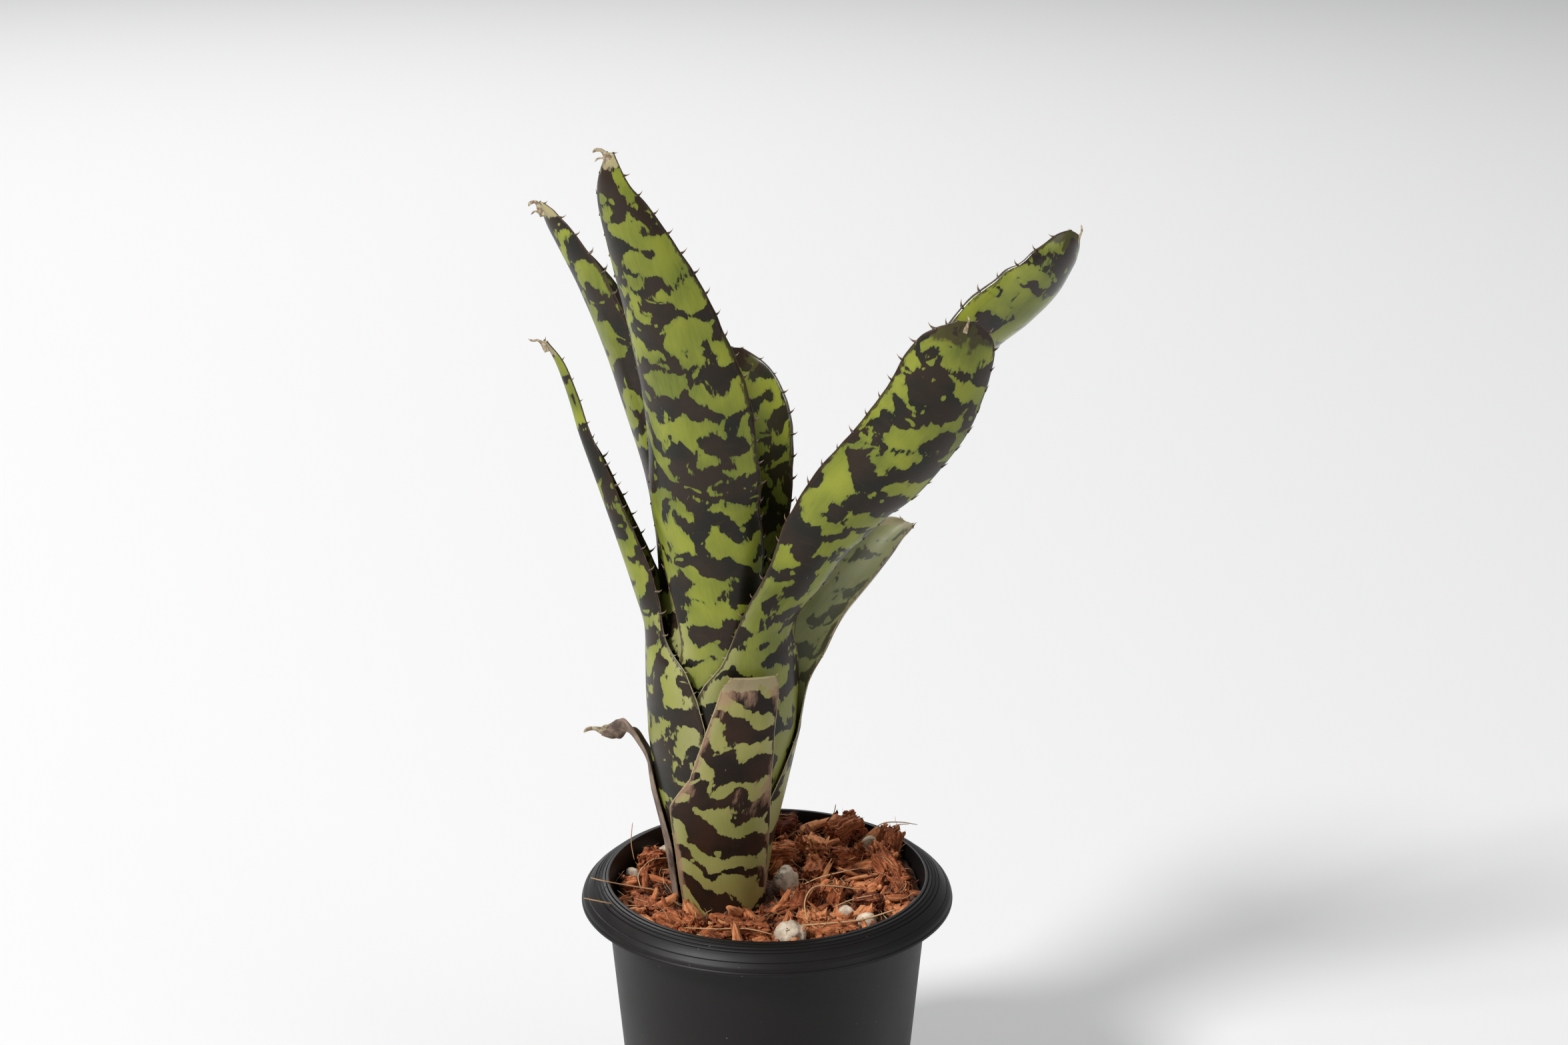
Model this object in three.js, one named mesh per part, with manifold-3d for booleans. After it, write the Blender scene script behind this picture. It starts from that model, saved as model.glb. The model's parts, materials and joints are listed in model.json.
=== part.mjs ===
// A potted tank bromeliad: nine spotted, spine-edged leaves whose broad bases nest into an
// upright tube, rooted in bark-and-pumice mix in a round black nursery pot.
// Millimetres, +Z up. The origin is the centre of the pot's foot, on the ground.
import * as THREE from "three";
import { mergeVertices } from "three/addons/utils/BufferGeometryUtils.js";
import Module from "manifold-3d";

const wasm = await Module();
wasm.setup();

// ---- driving dimensions -------------------------------------------------------------------
const POT_H = 105; // height of the pot
const RIM_R = 60; // outside radius of the rim band
const MOUTH_R = 51; // inside radius of the mouth
const FOOT_R = 43.2; // outside radius of the foot
const WALL = 1.6; // wall of the pot
const FLOOR = 2.5; // floor of the pot
const DRAINS = 8; // drain holes in the floor
const DRAIN_R = 3.5;
const DRAIN_RING = 33; // radius of the ring they lie on
const MIX_DEPTH = 9; // how far below the pot's mouth the potting mix lies
const MIX_TOP = POT_H - MIX_DEPTH; // height of the mix where the plant stands
const MOUND = 7; // how far the mix rises towards the back right
const PLANT_X = -15; // the plant stands off the pot's axis
const PLANT_Y = 5;
const PLANT_SCALE = 1; // leaves, tube and stem together
const LEAF_T = 0.85; // thickness of a leaf
const LAYER_GAP = 0.65; // air between one leaf base and the next one in
const LAYER = LEAF_T + LAYER_GAP; // radial step from one leaf base to the next
const CLEAR = 0.3; // gap kept between a piece and the hole or seat it lies in

const rad = THREE.MathUtils.degToRad;
const UP = new THREE.Vector3(0, 0, 1);

// ---- colours ------------------------------------------------------------------------------
const paint = (hex, rough) =>
  new THREE.MeshStandardMaterial({ color: hex, roughness: rough, metalness: 0 });
const BLACK_PLASTIC = paint(0x1d1d1e, 0.5);
const LEAF_GREEN = paint(0x8a9a3a, 0.4);
const LEAF_GREY = paint(0x6f7a4e, 0.5);
const LEAF_OLIVE = paint(0x9a8a50, 0.55);
const LEAF_BROWN = paint(0x7a6348, 0.8);
const STEM_BROWN = paint(0x5a4632, 0.85);
const MIX_BROWN = paint(0x4a2f1e, 0.95);
const HUSK_LIGHT = paint(0xa9663a, 0.95);
const HUSK_DARK = paint(0x6b3d24, 0.95);
const PUMICE = paint(0xcfc6b4, 0.9);

const root = new THREE.Group();
const plant = new THREE.Group();
plant.position.set(PLANT_X, PLANT_Y, MIX_TOP);
plant.scale.setScalar(PLANT_SCALE);
root.add(plant);

function place(group, name, geometry, material) {
  const mesh = new THREE.Mesh(geometry, material);
  mesh.name = name;
  group.add(mesh);
  return mesh;
}

// ---- small helpers ------------------------------------------------------------------------
// Repeatable random numbers from 0 to 1.
function random(seed) {
  let s = seed;
  return () => {
    s = (s * 1664525 + 1013904223) % 4294967296;
    return s / 4294967296;
  };
}

// A closed geometry as a solid, and back.
function solid(geometry) {
  const g = geometry.clone();
  g.deleteAttribute("normal");
  g.deleteAttribute("uv");
  const m = mergeVertices(g, 1e-4);
  return new wasm.Manifold(
    new wasm.Mesh({
      numProp: 3,
      vertProperties: new Float32Array(m.attributes.position.array),
      triVerts: new Uint32Array(m.index.array),
    }),
  );
}

function geometryOf(body) {
  const m = body.getMesh();
  const g = new THREE.BufferGeometry();
  g.setAttribute("position", new THREE.BufferAttribute(m.vertProperties, 3));
  g.setIndex(new THREE.BufferAttribute(m.triVerts, 1));
  g.computeVertexNormals();
  return g;
}

// A body of revolution about Z from [radius, height] pairs, listed from the bottom of the axis
// outwards and up to the top of the axis.
function turned(points, segments) {
  const g = new THREE.LatheGeometry(
    points.map(([r, z]) => new THREE.Vector2(r, z)),
    segments,
  );
  return g.rotateX(Math.PI / 2);
}

// A straight-line lookup in a list of [key, value, value...] rows.
function lookUp(rows, key) {
  if (key <= rows[0][0]) return rows[0].slice(1);
  for (let i = 1; i < rows.length; i++) {
    const [a, b] = [rows[i - 1], rows[i]];
    if (key <= b[0]) {
      const t = (key - a[0]) / (b[0] - a[0]);
      return a.slice(1).map((v, k) => v + (b[k + 1] - v) * t);
    }
  }
  return rows[rows.length - 1].slice(1);
}

// ---- pot ----------------------------------------------------------------------------------
const innerFoot = FOOT_R - WALL;
const innerR = (z) => innerFoot + ((z - FLOOR) / (POT_H - FLOOR)) * (MOUTH_R - innerFoot);
const outerR = (z) => innerR(z) + WALL;
const band = RIM_R - MOUTH_R;
const potProfile = [
  [0, 0],
  [FOOT_R - 0.8, 0],
  [FOOT_R, 0.8],
  [outerR(POT_H - 6), POT_H - 6],
  [MOUTH_R + 0.34 * band, POT_H - 3.6],
  [MOUTH_R + 0.68 * band, POT_H - 5.4],
  [MOUTH_R + 0.76 * band, POT_H - 8],
  [RIM_R - 0.7, POT_H - 8],
  [RIM_R, POT_H - 7.3],
  [RIM_R, POT_H - 5.8],
  [RIM_R - 0.8, POT_H - 4.4],
  [MOUTH_R + 0.62 * band, POT_H - 2.9],
  [MOUTH_R + 0.6 * band, POT_H - 2.2],
  [MOUTH_R + 0.42 * band, POT_H - 1.7],
  [MOUTH_R + 0.4 * band, POT_H - 1],
  [MOUTH_R + 0.2 * band, POT_H - 0.6],
  [MOUTH_R + 0.17 * band, POT_H],
  [MOUTH_R, POT_H],
  [innerFoot, FLOOR],
  [0, FLOOR],
];
let potBody = solid(turned(potProfile, 64));
for (let i = 0; i < DRAINS; i++) {
  const a = (2 * Math.PI * (i + 0.5)) / DRAINS;
  const hole = new THREE.CylinderGeometry(DRAIN_R, DRAIN_R, FLOOR + 4, 12);
  hole.rotateX(Math.PI / 2);
  hole.translate(DRAIN_RING * Math.cos(a), DRAIN_RING * Math.sin(a), FLOOR / 2);
  potBody = potBody.subtract(solid(hole));
}
place(root, "pot", geometryOf(potBody), BLACK_PLASTIC);

// ---- the tube of leaf bases, and the stem inside it ------------------------------------------
// [height above the mix, outside radius] of the tube that the leaf bases make together.
const TUBE = [
  [-8, 15.4],
  [0, 15.9],
  [20, 18.7],
  [38, 22.8],
  [58, 26],
  [72, 26.6],
  [95, 26.6],
];
const tubeR = (z) => lookUp(TUBE, z)[0];
// [height above the mix, how far the tube's centre lies to +X of the stem's].
const TUBE_LEAN = [
  [10, 0],
  [38, 0.2],
  [60, 1.5],
  [95, 1.6],
];
const tubeX = (z) => lookUp(TUBE_LEAN, z)[0];

// The stem's cone: its radius falls with height, and each leaf base starts just above it.
const CONE_R = 15.2;
const CONE_Z = -7;
const CONE_SLOPE = 0.4;
const coneR = (z) => CONE_R - CONE_SLOPE * (z - CONE_Z);
const CONE_TOP = 8;
const stemProfile = [
  [0, -32],
  [8, -31],
  [12.6, -22],
  [CONE_R - 0.4, CONE_Z - 3],
  [CONE_R, CONE_Z],
  [coneR(CONE_TOP), CONE_TOP],
  [4.5, CONE_TOP + 3],
  [0, CONE_TOP + 4],
];
place(plant, "stem", turned(stemProfile, 24), STEM_BROWN);

// Height at which the base of a leaf of one layer meets the cone.
function footOf(layer) {
  let z = 0;
  for (let i = 0; i < 20; i++) {
    const inside = tubeR(z) - LAYER * layer - LEAF_T;
    z = CONE_Z + (CONE_R - inside) / CONE_SLOPE + 4 * CLEAR;
  }
  return z;
}

// ---- leaves ---------------------------------------------------------------------------------
// A leaf is a row of arcs. In its base each arc is part of a level circle about the plant's
// axis, between two azimuths. In its blade each arc has a middle point, the azimuth that its
// outer face turns to, half its width along the arc, and half its angle.
const BASE_ROWS = [10, 20, 29, 38, 48, 58, 65, 72, 80];
function stationsOf(leaf) {
  const foot = footOf(leaf.layer);
  const top = leaf.base[leaf.base.length - 1][0];
  const heights = [foot, ...BASE_ROWS.filter((z) => z > foot + 2 && z < top - 2), top];
  const base = heights.map((z) => {
    const [from, to] = lookUp(leaf.base, z);
    const r = tubeR(z) - LAYER * leaf.layer;
    const mid = rad((from + to) / 2);
    const half = rad((to - from) / 2);
    return [tubeX(z) + r * Math.cos(mid), r * Math.sin(mid), z, mid, r * half, half];
  });
  const blade = leaf.blade.map(([x, y, z, face, w, cup]) => [x, y, z, rad(face), w, rad(cup)]);
  return { base, blade };
}

// One value of a Catmull-Rom curve through four values.
function spline(a, b, c, d, t) {
  const t2 = t * t;
  const t3 = t2 * t;
  return 0.5 * (2 * b + (c - a) * t + (2 * a - 5 * b + 4 * c - d) * t2 + (3 * b - a - 3 * c + d) * t3);
}

// All rows of a leaf, with a share (0 to 1) that says how far an arc has turned from level to
// square across the leaf.
function rowsOf(leaf, perSpan) {
  const { base, blade } = stationsOf(leaf);
  const rows = base.map((s) => ({ s, turn: 0 }));
  const all = [...base.slice(-2), ...blade];
  const turns = leaf.turnOver ?? 2;
  for (let i = 1; i < all.length - 1; i++) {
    const quad = [all[i - 1], all[i], all[i + 1], all[Math.min(i + 2, all.length - 1)]];
    for (let k = 1; k <= perSpan; k++) {
      const t = k / perSpan;
      const s = quad[1].map((_, n) => spline(quad[0][n], quad[1][n], quad[2][n], quad[3][n], t));
      const turn = Math.min(1, (i - 1 + t) / turns);
      rows.push({ s, turn });
    }
  }
  return rows;
}

function leafGeometry(leaf) {
  const rows = rowsOf(leaf, leaf.fine ?? 1);
  const cols = leaf.cols ?? 9;
  const mids = rows.map(({ s }) => new THREE.Vector3(s[0], s[1], s[2]));
  const points = [];
  rows.forEach(({ s, turn }, i) => {
    const along = mids[Math.min(i + 1, mids.length - 1)].clone();
    along.sub(mids[Math.max(i - 1, 0)]).normalize();
    along.lerp(UP, 1 - turn).normalize();
    const face = new THREE.Vector3(Math.cos(s[3]), Math.sin(s[3]), 0);
    face.addScaledVector(along, -face.dot(along)).normalize();
    const side = new THREE.Vector3().crossVectors(along, face);
    const rho = s[4] / s[5];
    const centre = mids[i].clone().addScaledVector(face, -rho);
    for (const skin of [0, 1]) {
      for (let j = 0; j <= cols; j++) {
        const a = s[5] * ((2 * j) / cols - 1);
        const r = rho - skin * LEAF_T;
        const p = centre.clone();
        p.addScaledVector(face, r * Math.cos(a)).addScaledVector(side, r * Math.sin(a));
        points.push(p);
      }
    }
  });
  return closedStrip(points, rows.length, cols);
}

// A closed skin over rows of points: each row has its outer points, then its inner ones.
function closedStrip(points, count, cols) {
  const index = [];
  const at = (i, skin, j) => (i * 2 + skin) * (cols + 1) + j;
  const quad = (a, b, c, d) => index.push(a, b, c, a, c, d);
  for (let i = 0; i + 1 < count; i++) {
    for (let j = 0; j < cols; j++) {
      quad(at(i, 0, j), at(i, 0, j + 1), at(i + 1, 0, j + 1), at(i + 1, 0, j));
      quad(at(i, 1, j + 1), at(i, 1, j), at(i + 1, 1, j), at(i + 1, 1, j + 1));
    }
    quad(at(i, 1, 0), at(i, 0, 0), at(i + 1, 0, 0), at(i + 1, 1, 0));
    quad(at(i, 0, cols), at(i, 1, cols), at(i + 1, 1, cols), at(i + 1, 0, cols));
  }
  const last = count - 1;
  for (let j = 0; j < cols; j++) {
    quad(at(0, 0, j), at(0, 1, j), at(0, 1, j + 1), at(0, 0, j + 1));
    quad(at(last, 0, j), at(last, 0, j + 1), at(last, 1, j + 1), at(last, 1, j));
  }
  const g = new THREE.BufferGeometry();
  g.setAttribute("position", new THREE.Float32BufferAttribute(points.flatMap((p) => [...p]), 3));
  g.setIndex(index);
  g.computeVertexNormals();
  return g;
}

// base rows: [height, azimuth from, azimuth to].
// blade rows: [x, y, z, azimuth of the outer face, half width, half angle].
const LEAVES = [
  {
    name: "leaf_dried",
    layer: 0,
    paint: LEAF_BROWN,
    cols: 4,
    base: [[0, 150, 212], [20, 152, 213], [38, 158, 208], [46, 164, 200]],
    blade: [
      [-26.4, 1, 51, 180, 5.2, 40],
      [-29.6, 2, 54.6, 180, 4.6, 55],
      [-34, 3, 55, 180, 3.8, 60],
      [-38.4, 4, 54.4, 180, 1.6, 50],
    ],
  },
  {
    name: "leaf_front_old",
    layer: 0,
    paint: LEAF_OLIVE,
    cols: 6,
    base: [
      [0, -140, -25],
      [20, -141, -35],
      [36, -136, -45],
      [48, -114, -50],
      [62, -104, -53],
      [75, -94, -50],
    ],
    blade: [
      [10.6, -25.4, 79.5, -70, 9.4, 20],
      [11.4, -26.4, 83.5, -68, 7.4, 12],
    ],
  },
  {
    name: "leaf_right_back",
    layer: 1,
    paint: LEAF_GREY,
    base: [
      [0, -50, 92],
      [38, -42, 94],
      [45, -32, 94],
      [54, -21, 92],
      [61, -12, 88],
    ],
    blade: [
      [23, 17, 72, 38, 22, 48],
      [29.5, 21, 80.5, 35, 21, 48],
      [37.5, 27, 90, 33, 20.5, 48],
      [46, 33, 98.5, 32, 19.5, 46],
      [52.5, 37.6, 104.5, 32, 16.5, 44],
      [57, 41, 108.4, 32, 12.5, 40],
      [60, 43.2, 110.8, 32, 8, 34],
      [61.2, 44, 111.8, 32, 3, 24],
    ],
  },
  {
    name: "leaf_left",
    layer: 1,
    paint: LEAF_GREEN,
    base: [
      [0, 100, 258],
      [40, 100, 258],
      [65, 104, 257],
      [75, 108, 251],
      [84, 116, 242],
    ],
    blade: [
      [-23.8, -0.5, 93, 181, 15.5, 54],
      [-26.5, -1, 103, 182, 15, 66],
      [-30.5, -1, 116, 184, 12.8, 74],
      [-35.2, -1, 131, 184, 10, 76],
      [-39.8, -1, 145, 188, 7.8, 76],
      [-43, -1, 155, 194, 5.4, 70],
      [-46, 0.5, 166, 200, 4.2, 60],
      [-49.5, 0, 177, 204, 3.4, 50],
      [-53, -1, 184, 204, 1.6, 40],
    ],
  },
  {
    name: "leaf_front_right",
    layer: 2,
    paint: LEAF_GREEN,
    base: [
      [0, -125, 26],
      [58, -123, 26],
      [70, -117, 14],
      [80, -104, -4],
      [86, -92, -14],
    ],
    blade: [
      [16, -18.2, 95, -53, 11.8, 30],
      [20, -19.5, 104, -53, 11, 30],
      [26.5, -23, 115, -60, 11.8, 34],
      [33.5, -28, 128, -68, 14.5, 45],
      [42, -32.5, 141, -72, 16.2, 48],
      [51.5, -35.5, 152, -74, 17, 48],
      [59, -38, 162, -75, 17.2, 48],
      [65, -40, 172, -75, 16.6, 46],
      [69.3, -41.5, 183.5, -75, 15.4, 43],
      [71.9, -42.5, 192.5, -75, 12.4, 36],
      [73, -43, 197.5, -75, 7.8, 26],
      [73.4, -43.2, 200.4, -75, 2.4, 14],
    ],
  },
  {
    name: "leaf_back",
    layer: 2,
    paint: LEAF_GREEN,
    base: [
      [0, 36, 176],
      [60, 36, 172],
      [75, 40, 137],
      [88, 46, 110],
    ],
    blade: [
      [2, 26, 104, 88, 16, 38],
      [3, 30, 121, 90, 21.5, 48],
      [4, 35.5, 138, 90, 22, 50],
      [4.5, 40.5, 151, 90, 20, 48],
      [4.8, 44, 160.5, 90, 15, 44],
      [5, 46, 166.5, 90, 9, 36],
      [5.2, 47, 170.5, 90, 1.6, 20],
    ],
  },
  {
    name: "leaf_front_left",
    layer: 3,
    paint: LEAF_GREEN,
    base: [
      [0, -165, -32],
      [60, -162, -30],
      [75, -140, -32],
      [83, -130, -36],
      [90, -126, -39],
    ],
    blade: [
      [0.5, -21.6, 105, -88, 16, 51],
      [-3.5, -22.5, 121, -104, 20, 58],
      [-7.7, -24.5, 135, -114, 22.5, 60],
      [-9.6, -27, 152, -119, 23.5, 61],
      [-11.8, -30, 171, -120, 23.2, 61],
      [-15.5, -32, 188, -120, 20.5, 60],
      [-20.6, -34, 206, -121, 17.5, 60],
      [-26.5, -35.5, 224, -122, 12.5, 58],
      [-30.3, -36, 237, -124, 7.6, 52],
      [-30, -35, 248.5, -125, 1.4, 30],
    ],
  },
  {
    name: "leaf_right",
    layer: 3,
    paint: LEAF_GREEN,
    base: [
      [0, -24, 100],
      [60, -24, 90],
      [75, -26, 68],
      [88, -28, 50],
    ],
    blade: [
      [26.6, 7, 102, 15, 13, 54],
      [37.5, 6.5, 118, 12, 15.5, 66],
      [54.2, 4.6, 140, 2, 18.5, 76],
      [69.9, 1.8, 161, -10, 21, 80],
      [83.2, -1.1, 180, -20, 22, 80],
      [95, -2.7, 191.5, -27, 20.5, 76],
      [102.7, -3.4, 200.5, -30, 18.5, 70],
      [106.8, -3.6, 208.5, -32, 15, 60],
      [108.6, -2.6, 214, -33, 10, 46],
      [109.6, -1, 217.5, -33, 3.6, 30],
    ],
  },
  {
    name: "leaf_left_back",
    layer: 4,
    paint: LEAF_GREEN,
    cols: 12,
    base: [
      [0, 50, 242],
      [60, 50, 242],
      [88, 60, 238],
    ],
    blade: [
      [-18.2, 8.5, 105, 162, 19.5, 69],
      [-20.2, 9, 122, 174, 20, 62],
      [-23.4, 8.5, 140, 181, 21, 60],
      [-29.3, 9, 160, 183, 22.5, 64],
      [-35.6, 10, 180, 184, 23, 65],
      [-42.5, 9.5, 198, 188, 18.5, 62],
      [-48, 9, 210, 194, 13.5, 56],
      [-51.6, 8.5, 218, 200, 9.5, 48],
      [-53.2, 8, 223, 204, 5.4, 40],
      [-53.8, 7.8, 225.4, 204, 1.8, 30],
    ],
  },
];
for (const leaf of LEAVES) place(plant, leaf.name, leafGeometry(leaf), leaf.paint);

// ---- chips of coir husk and stones of pumice on the mix ----------------------------------------
// Height of the mix: it rises towards the back right, and is uneven by about a millimetre.
function mixHeight(x, y) {
  const rise = Math.max(0, (0.55 * x + 0.83 * y + 6) / RIM_R);
  const bumps = Math.sin(0.31 * x + 1.7) * Math.cos(0.27 * y - 0.4);
  return MIX_TOP + 1.7 * MOUND * rise * rise * (1 - 0.25 * rise) + bumps;
}

// The places of the loose pieces are drawn for a bed with the plant and the wall as given here.
// In the real bed each piece keeps its bearing from the plant and its share of the way from the
// tube to the wall, and its size follows the room that it has.
const DRAWN = { x: -15, y: 5, tube: 15.9, wall: 50.174634, mouth: 51 };
const tighter = Math.min(innerR(MIX_TOP) / DRAWN.wall, MOUTH_R / DRAWN.mouth);
const REAL = { x: PLANT_X, y: PLANT_Y, tube: PLANT_SCALE * tubeR(0), wall: tighter * DRAWN.wall };
// Distance from a bed's plant to its wall on a bearing.
function reach(b, angle) {
  const along = b.x * Math.cos(angle) + b.y * Math.sin(angle);
  return Math.sqrt(along * along + b.wall * b.wall - b.x * b.x - b.y * b.y) - along;
}
function settle(x, y) {
  const angle = Math.atan2(y - DRAWN.y, x - DRAWN.x);
  const drawn = Math.hypot(x - DRAWN.x, y - DRAWN.y);
  const room = (reach(REAL, angle) - REAL.tube) / (reach(DRAWN, angle) - DRAWN.tube);
  const real = REAL.tube + (drawn - DRAWN.tube) * room;
  return {
    x: REAL.x + real * Math.cos(angle),
    y: REAL.y + real * Math.sin(angle),
    stretch: Math.min(room, real / drawn),
  };
}

// One loose piece: its shape at full size, and the same shape swollen by the clearance for the
// pocket that it lies in.
function loosePiece(shape, size, [x, y, lift], [yaw, pitch, roll]) {
  const turn = new THREE.Euler(rad(roll), rad(pitch), rad(yaw), "ZYX");
  const at = settle(x, y);
  const make = (extra) => {
    const g = shape.clone();
    g.scale(...size.map((length) => length * at.stretch + extra));
    g.applyMatrix4(new THREE.Matrix4().makeRotationFromEuler(turn));
    return g.translate(at.x, at.y, mixHeight(at.x, at.y) + lift * at.stretch);
  };
  return { body: make(0), pocket: make(2 * CLEAR) };
}

// A unit box with its edges knocked about, for a chip.
function chipShape(seed) {
  const next = random(seed);
  const g = new THREE.BoxGeometry(1, 1, 1, 2, 1, 1);
  g.deleteAttribute("normal");
  g.deleteAttribute("uv");
  const m = mergeVertices(g, 1e-4);
  const p = m.attributes.position;
  for (let i = 0; i < p.count; i++) {
    const x = p.getX(i) * (0.84 + 0.16 * next());
    const y = p.getY(i) * (0.72 + 0.28 * next());
    const z = p.getZ(i) * (0.72 + 0.28 * next());
    p.setXYZ(i, x, y, z);
  }
  return m;
}

// A unit ball with dents, for a stone.
function stoneShape(seed) {
  const next = random(seed);
  const g = new THREE.IcosahedronGeometry(0.5, 1);
  g.deleteAttribute("normal");
  g.deleteAttribute("uv");
  const m = mergeVertices(g, 1e-4);
  const p = m.attributes.position;
  for (let i = 0; i < p.count; i++) {
    const k = 0.84 + 0.16 * next();
    p.setXYZ(i, p.getX(i) * k, p.getY(i) * k, p.getZ(i) * k);
  }
  return m;
}

// [x, y, lift of its middle above the mix, length, width, height, yaw, pitch, roll].
const CHIPS = [
  [39.5, 9, 2.5, 25, 7.5, 6, 116, -22, 8],
  [40.6, 23.3, 2, 7, 8, 11, 30, 10, 5],
  [26, 33.5, 3, 13, 9, 8, 28, -12, 10],
  [-38, 23, 1.5, 12, 8, 8, 60, 8, 0],
  [-45, 8, 1, 6, 5, 5, 20, 0, 20],
  [-39, -10.5, 1, 14, 8, 7, 100, 5, 10],
  [-28, -23, 1.5, 17, 10, 6, 140, -6, 6],
  [-8, -27.5, 1.5, 18, 12, 7, 4, 5, -8],
  [22, -29.5, 1.5, 15, 8, 7, 16, 5, 6],
  [12.5, -8.5, 2, 8, 7, 12, 40, 6, 10],
  [15.1, 13.1, 1.5, 11, 7.5, 8, 80, -8, 12],
  [4, 24, 1.5, 13, 9, 8, 160, 8, 0],
  [26, 18.2, 2, 13, 8, 7, 30, 14, -10],
  [4, 41, 1.5, 13, 8, 8, 10, -6, 8],
  [15, 27.5, 1.5, 11, 8, 7, 110, 6, 0],
  [22, -5.5, 2, 8, 6, 11, 70, 12, 8],
  [31.5, -0.5, 1.5, 9, 7, 6, 20, 0, 12],
  [32.6, -10.6, 1.5, 9, 7, 6, 150, 6, -6],
  [42, -15, 1, 10, 6, 2.6, 110, -6, 12],
  [-14.5, 36.5, 1.5, 13, 8, 7, 170, 6, 6],
  [-26.3, 35.5, 1, 8.5, 7, 7, 40, 6, 6],
  [-2, -42.5, 0.5, 12, 7, 6, 175, 4, 0],
  [-18, -38, 0.5, 12, 7, 6, 155, -4, 5],
  [14, -19.5, 1.2, 10, 7, 6, 120, 0, 12],
];
// The same columns for the stones.
const STONES = [
  [6, 5.2, 2.5, 9.6, 9, 11.5, 20, 0, 0],
  [7.5, -31.5, 1.5, 12, 10, 9, 0, 0, 0],
  [31.5, -20.5, 1.5, 9, 7, 6.5, 30, 0, 0],
  [25.2, -14.8, 1, 5.5, 5.5, 5.5, 0, 0, 0],
  [-44.5, 15.8, 1, 6, 5, 5.5, 0, 0, 0],
  [-34.5, 31.5, 1, 6, 6, 6, 50, 0, 0],
  [33.5, 27, 1.5, 6, 6, 5, 10, 0, 0],
  [-4.2, 31, 1.2, 7, 6, 6, 70, 0, 0],
];
const pieces = [];
const two = (n) => String(n).padStart(2, "0");
CHIPS.forEach(([x, y, lift, l, w, h, ...turns], i) => {
  const p = loosePiece(chipShape(11 + i), [l, w, h], [x, y, lift], turns);
  pieces.push(p);
  const tone = i % 4 === 1 ? HUSK_DARK : HUSK_LIGHT;
  place(root, `coir_chip_${two(i + 1)}`, p.body, tone);
});
STONES.forEach(([x, y, lift, l, w, h, ...turns], i) => {
  const p = loosePiece(stoneShape(71 + i), [l, w, h], [x, y, lift], turns);
  pieces.push(p);
  place(root, `pumice_stone_${i + 1}`, p.body, PUMICE);
});

// ---- potting mix ------------------------------------------------------------------------------
// A plug that fills the pot, with a hole for the stem and the tube and a pocket for each loose
// piece.
const edgeR = innerR(MIX_TOP) - CLEAR;
const bedProfile = [
  [0, FLOOR + CLEAR],
  [innerFoot - CLEAR, FLOOR + CLEAR],
  [edgeR, MIX_TOP],
  [0.8 * edgeR, MIX_TOP],
  [0.6 * edgeR, MIX_TOP],
  [0.35 * edgeR, MIX_TOP],
  [0, MIX_TOP],
];
const bedShape = turned(bedProfile, 40);
const bedPoints = bedShape.attributes.position;
for (let i = 0; i < bedPoints.count; i++) {
  if (bedPoints.getZ(i) < MIX_TOP - 1) continue;
  bedPoints.setZ(i, mixHeight(bedPoints.getX(i), bedPoints.getY(i)));
}
let bed = solid(bedShape);
const holeProfile = [
  ...stemProfile.slice(0, 4).map(([r, z]) => [r && r + CLEAR, z - CLEAR]),
  [tubeR(CONE_Z) + 1.5 * CLEAR, CONE_Z],
  [tubeR(0) + 1.5 * CLEAR, 0],
  [tubeR(20) + 1.5 * CLEAR, 20],
  [0, 20],
];
const hole = turned(holeProfile, 32);
hole.scale(PLANT_SCALE, PLANT_SCALE, PLANT_SCALE);
hole.translate(PLANT_X, PLANT_Y, MIX_TOP);
bed = bed.subtract(solid(hole));
for (const p of pieces) bed = bed.subtract(solid(p.pocket));
place(root, "potting_mix", geometryOf(bed), MIX_BROWN);

export default root;
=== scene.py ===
# %% [markdown]
# # A potted tank bromeliad
# The plant is nine strap leaves whose broad bases wrap one inside the other into an upright
# tube that holds water. It stands in a black nursery pot, in a mix of coir husk and pumice.
# The frame brings in the exact solids, and every piece below is laid over them in metres.

# %% The frame and the tools
import json
import math
import random

import bpy
import bmesh
import numpy as np
from mathutils import Matrix, Vector, noise

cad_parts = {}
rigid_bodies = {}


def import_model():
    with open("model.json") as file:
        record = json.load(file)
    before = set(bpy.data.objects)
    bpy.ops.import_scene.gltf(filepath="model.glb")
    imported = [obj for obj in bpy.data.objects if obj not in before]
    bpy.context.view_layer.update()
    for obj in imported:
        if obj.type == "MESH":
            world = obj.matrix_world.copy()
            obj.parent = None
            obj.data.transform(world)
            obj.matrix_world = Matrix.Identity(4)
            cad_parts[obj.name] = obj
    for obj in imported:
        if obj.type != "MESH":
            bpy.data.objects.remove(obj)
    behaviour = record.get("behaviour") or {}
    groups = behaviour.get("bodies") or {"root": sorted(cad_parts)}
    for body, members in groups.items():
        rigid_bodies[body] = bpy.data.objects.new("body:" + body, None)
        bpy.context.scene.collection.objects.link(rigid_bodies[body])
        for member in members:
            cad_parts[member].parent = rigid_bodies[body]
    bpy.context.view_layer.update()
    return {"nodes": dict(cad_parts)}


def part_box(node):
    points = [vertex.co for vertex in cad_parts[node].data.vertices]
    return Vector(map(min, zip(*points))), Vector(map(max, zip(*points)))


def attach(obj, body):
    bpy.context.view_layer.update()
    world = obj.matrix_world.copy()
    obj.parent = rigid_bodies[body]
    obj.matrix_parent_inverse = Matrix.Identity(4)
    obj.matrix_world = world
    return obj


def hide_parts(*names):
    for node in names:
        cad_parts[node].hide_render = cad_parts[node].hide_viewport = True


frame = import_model()
MM = 0.001
print("nodes in the frame:", len(frame["nodes"]))

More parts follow.
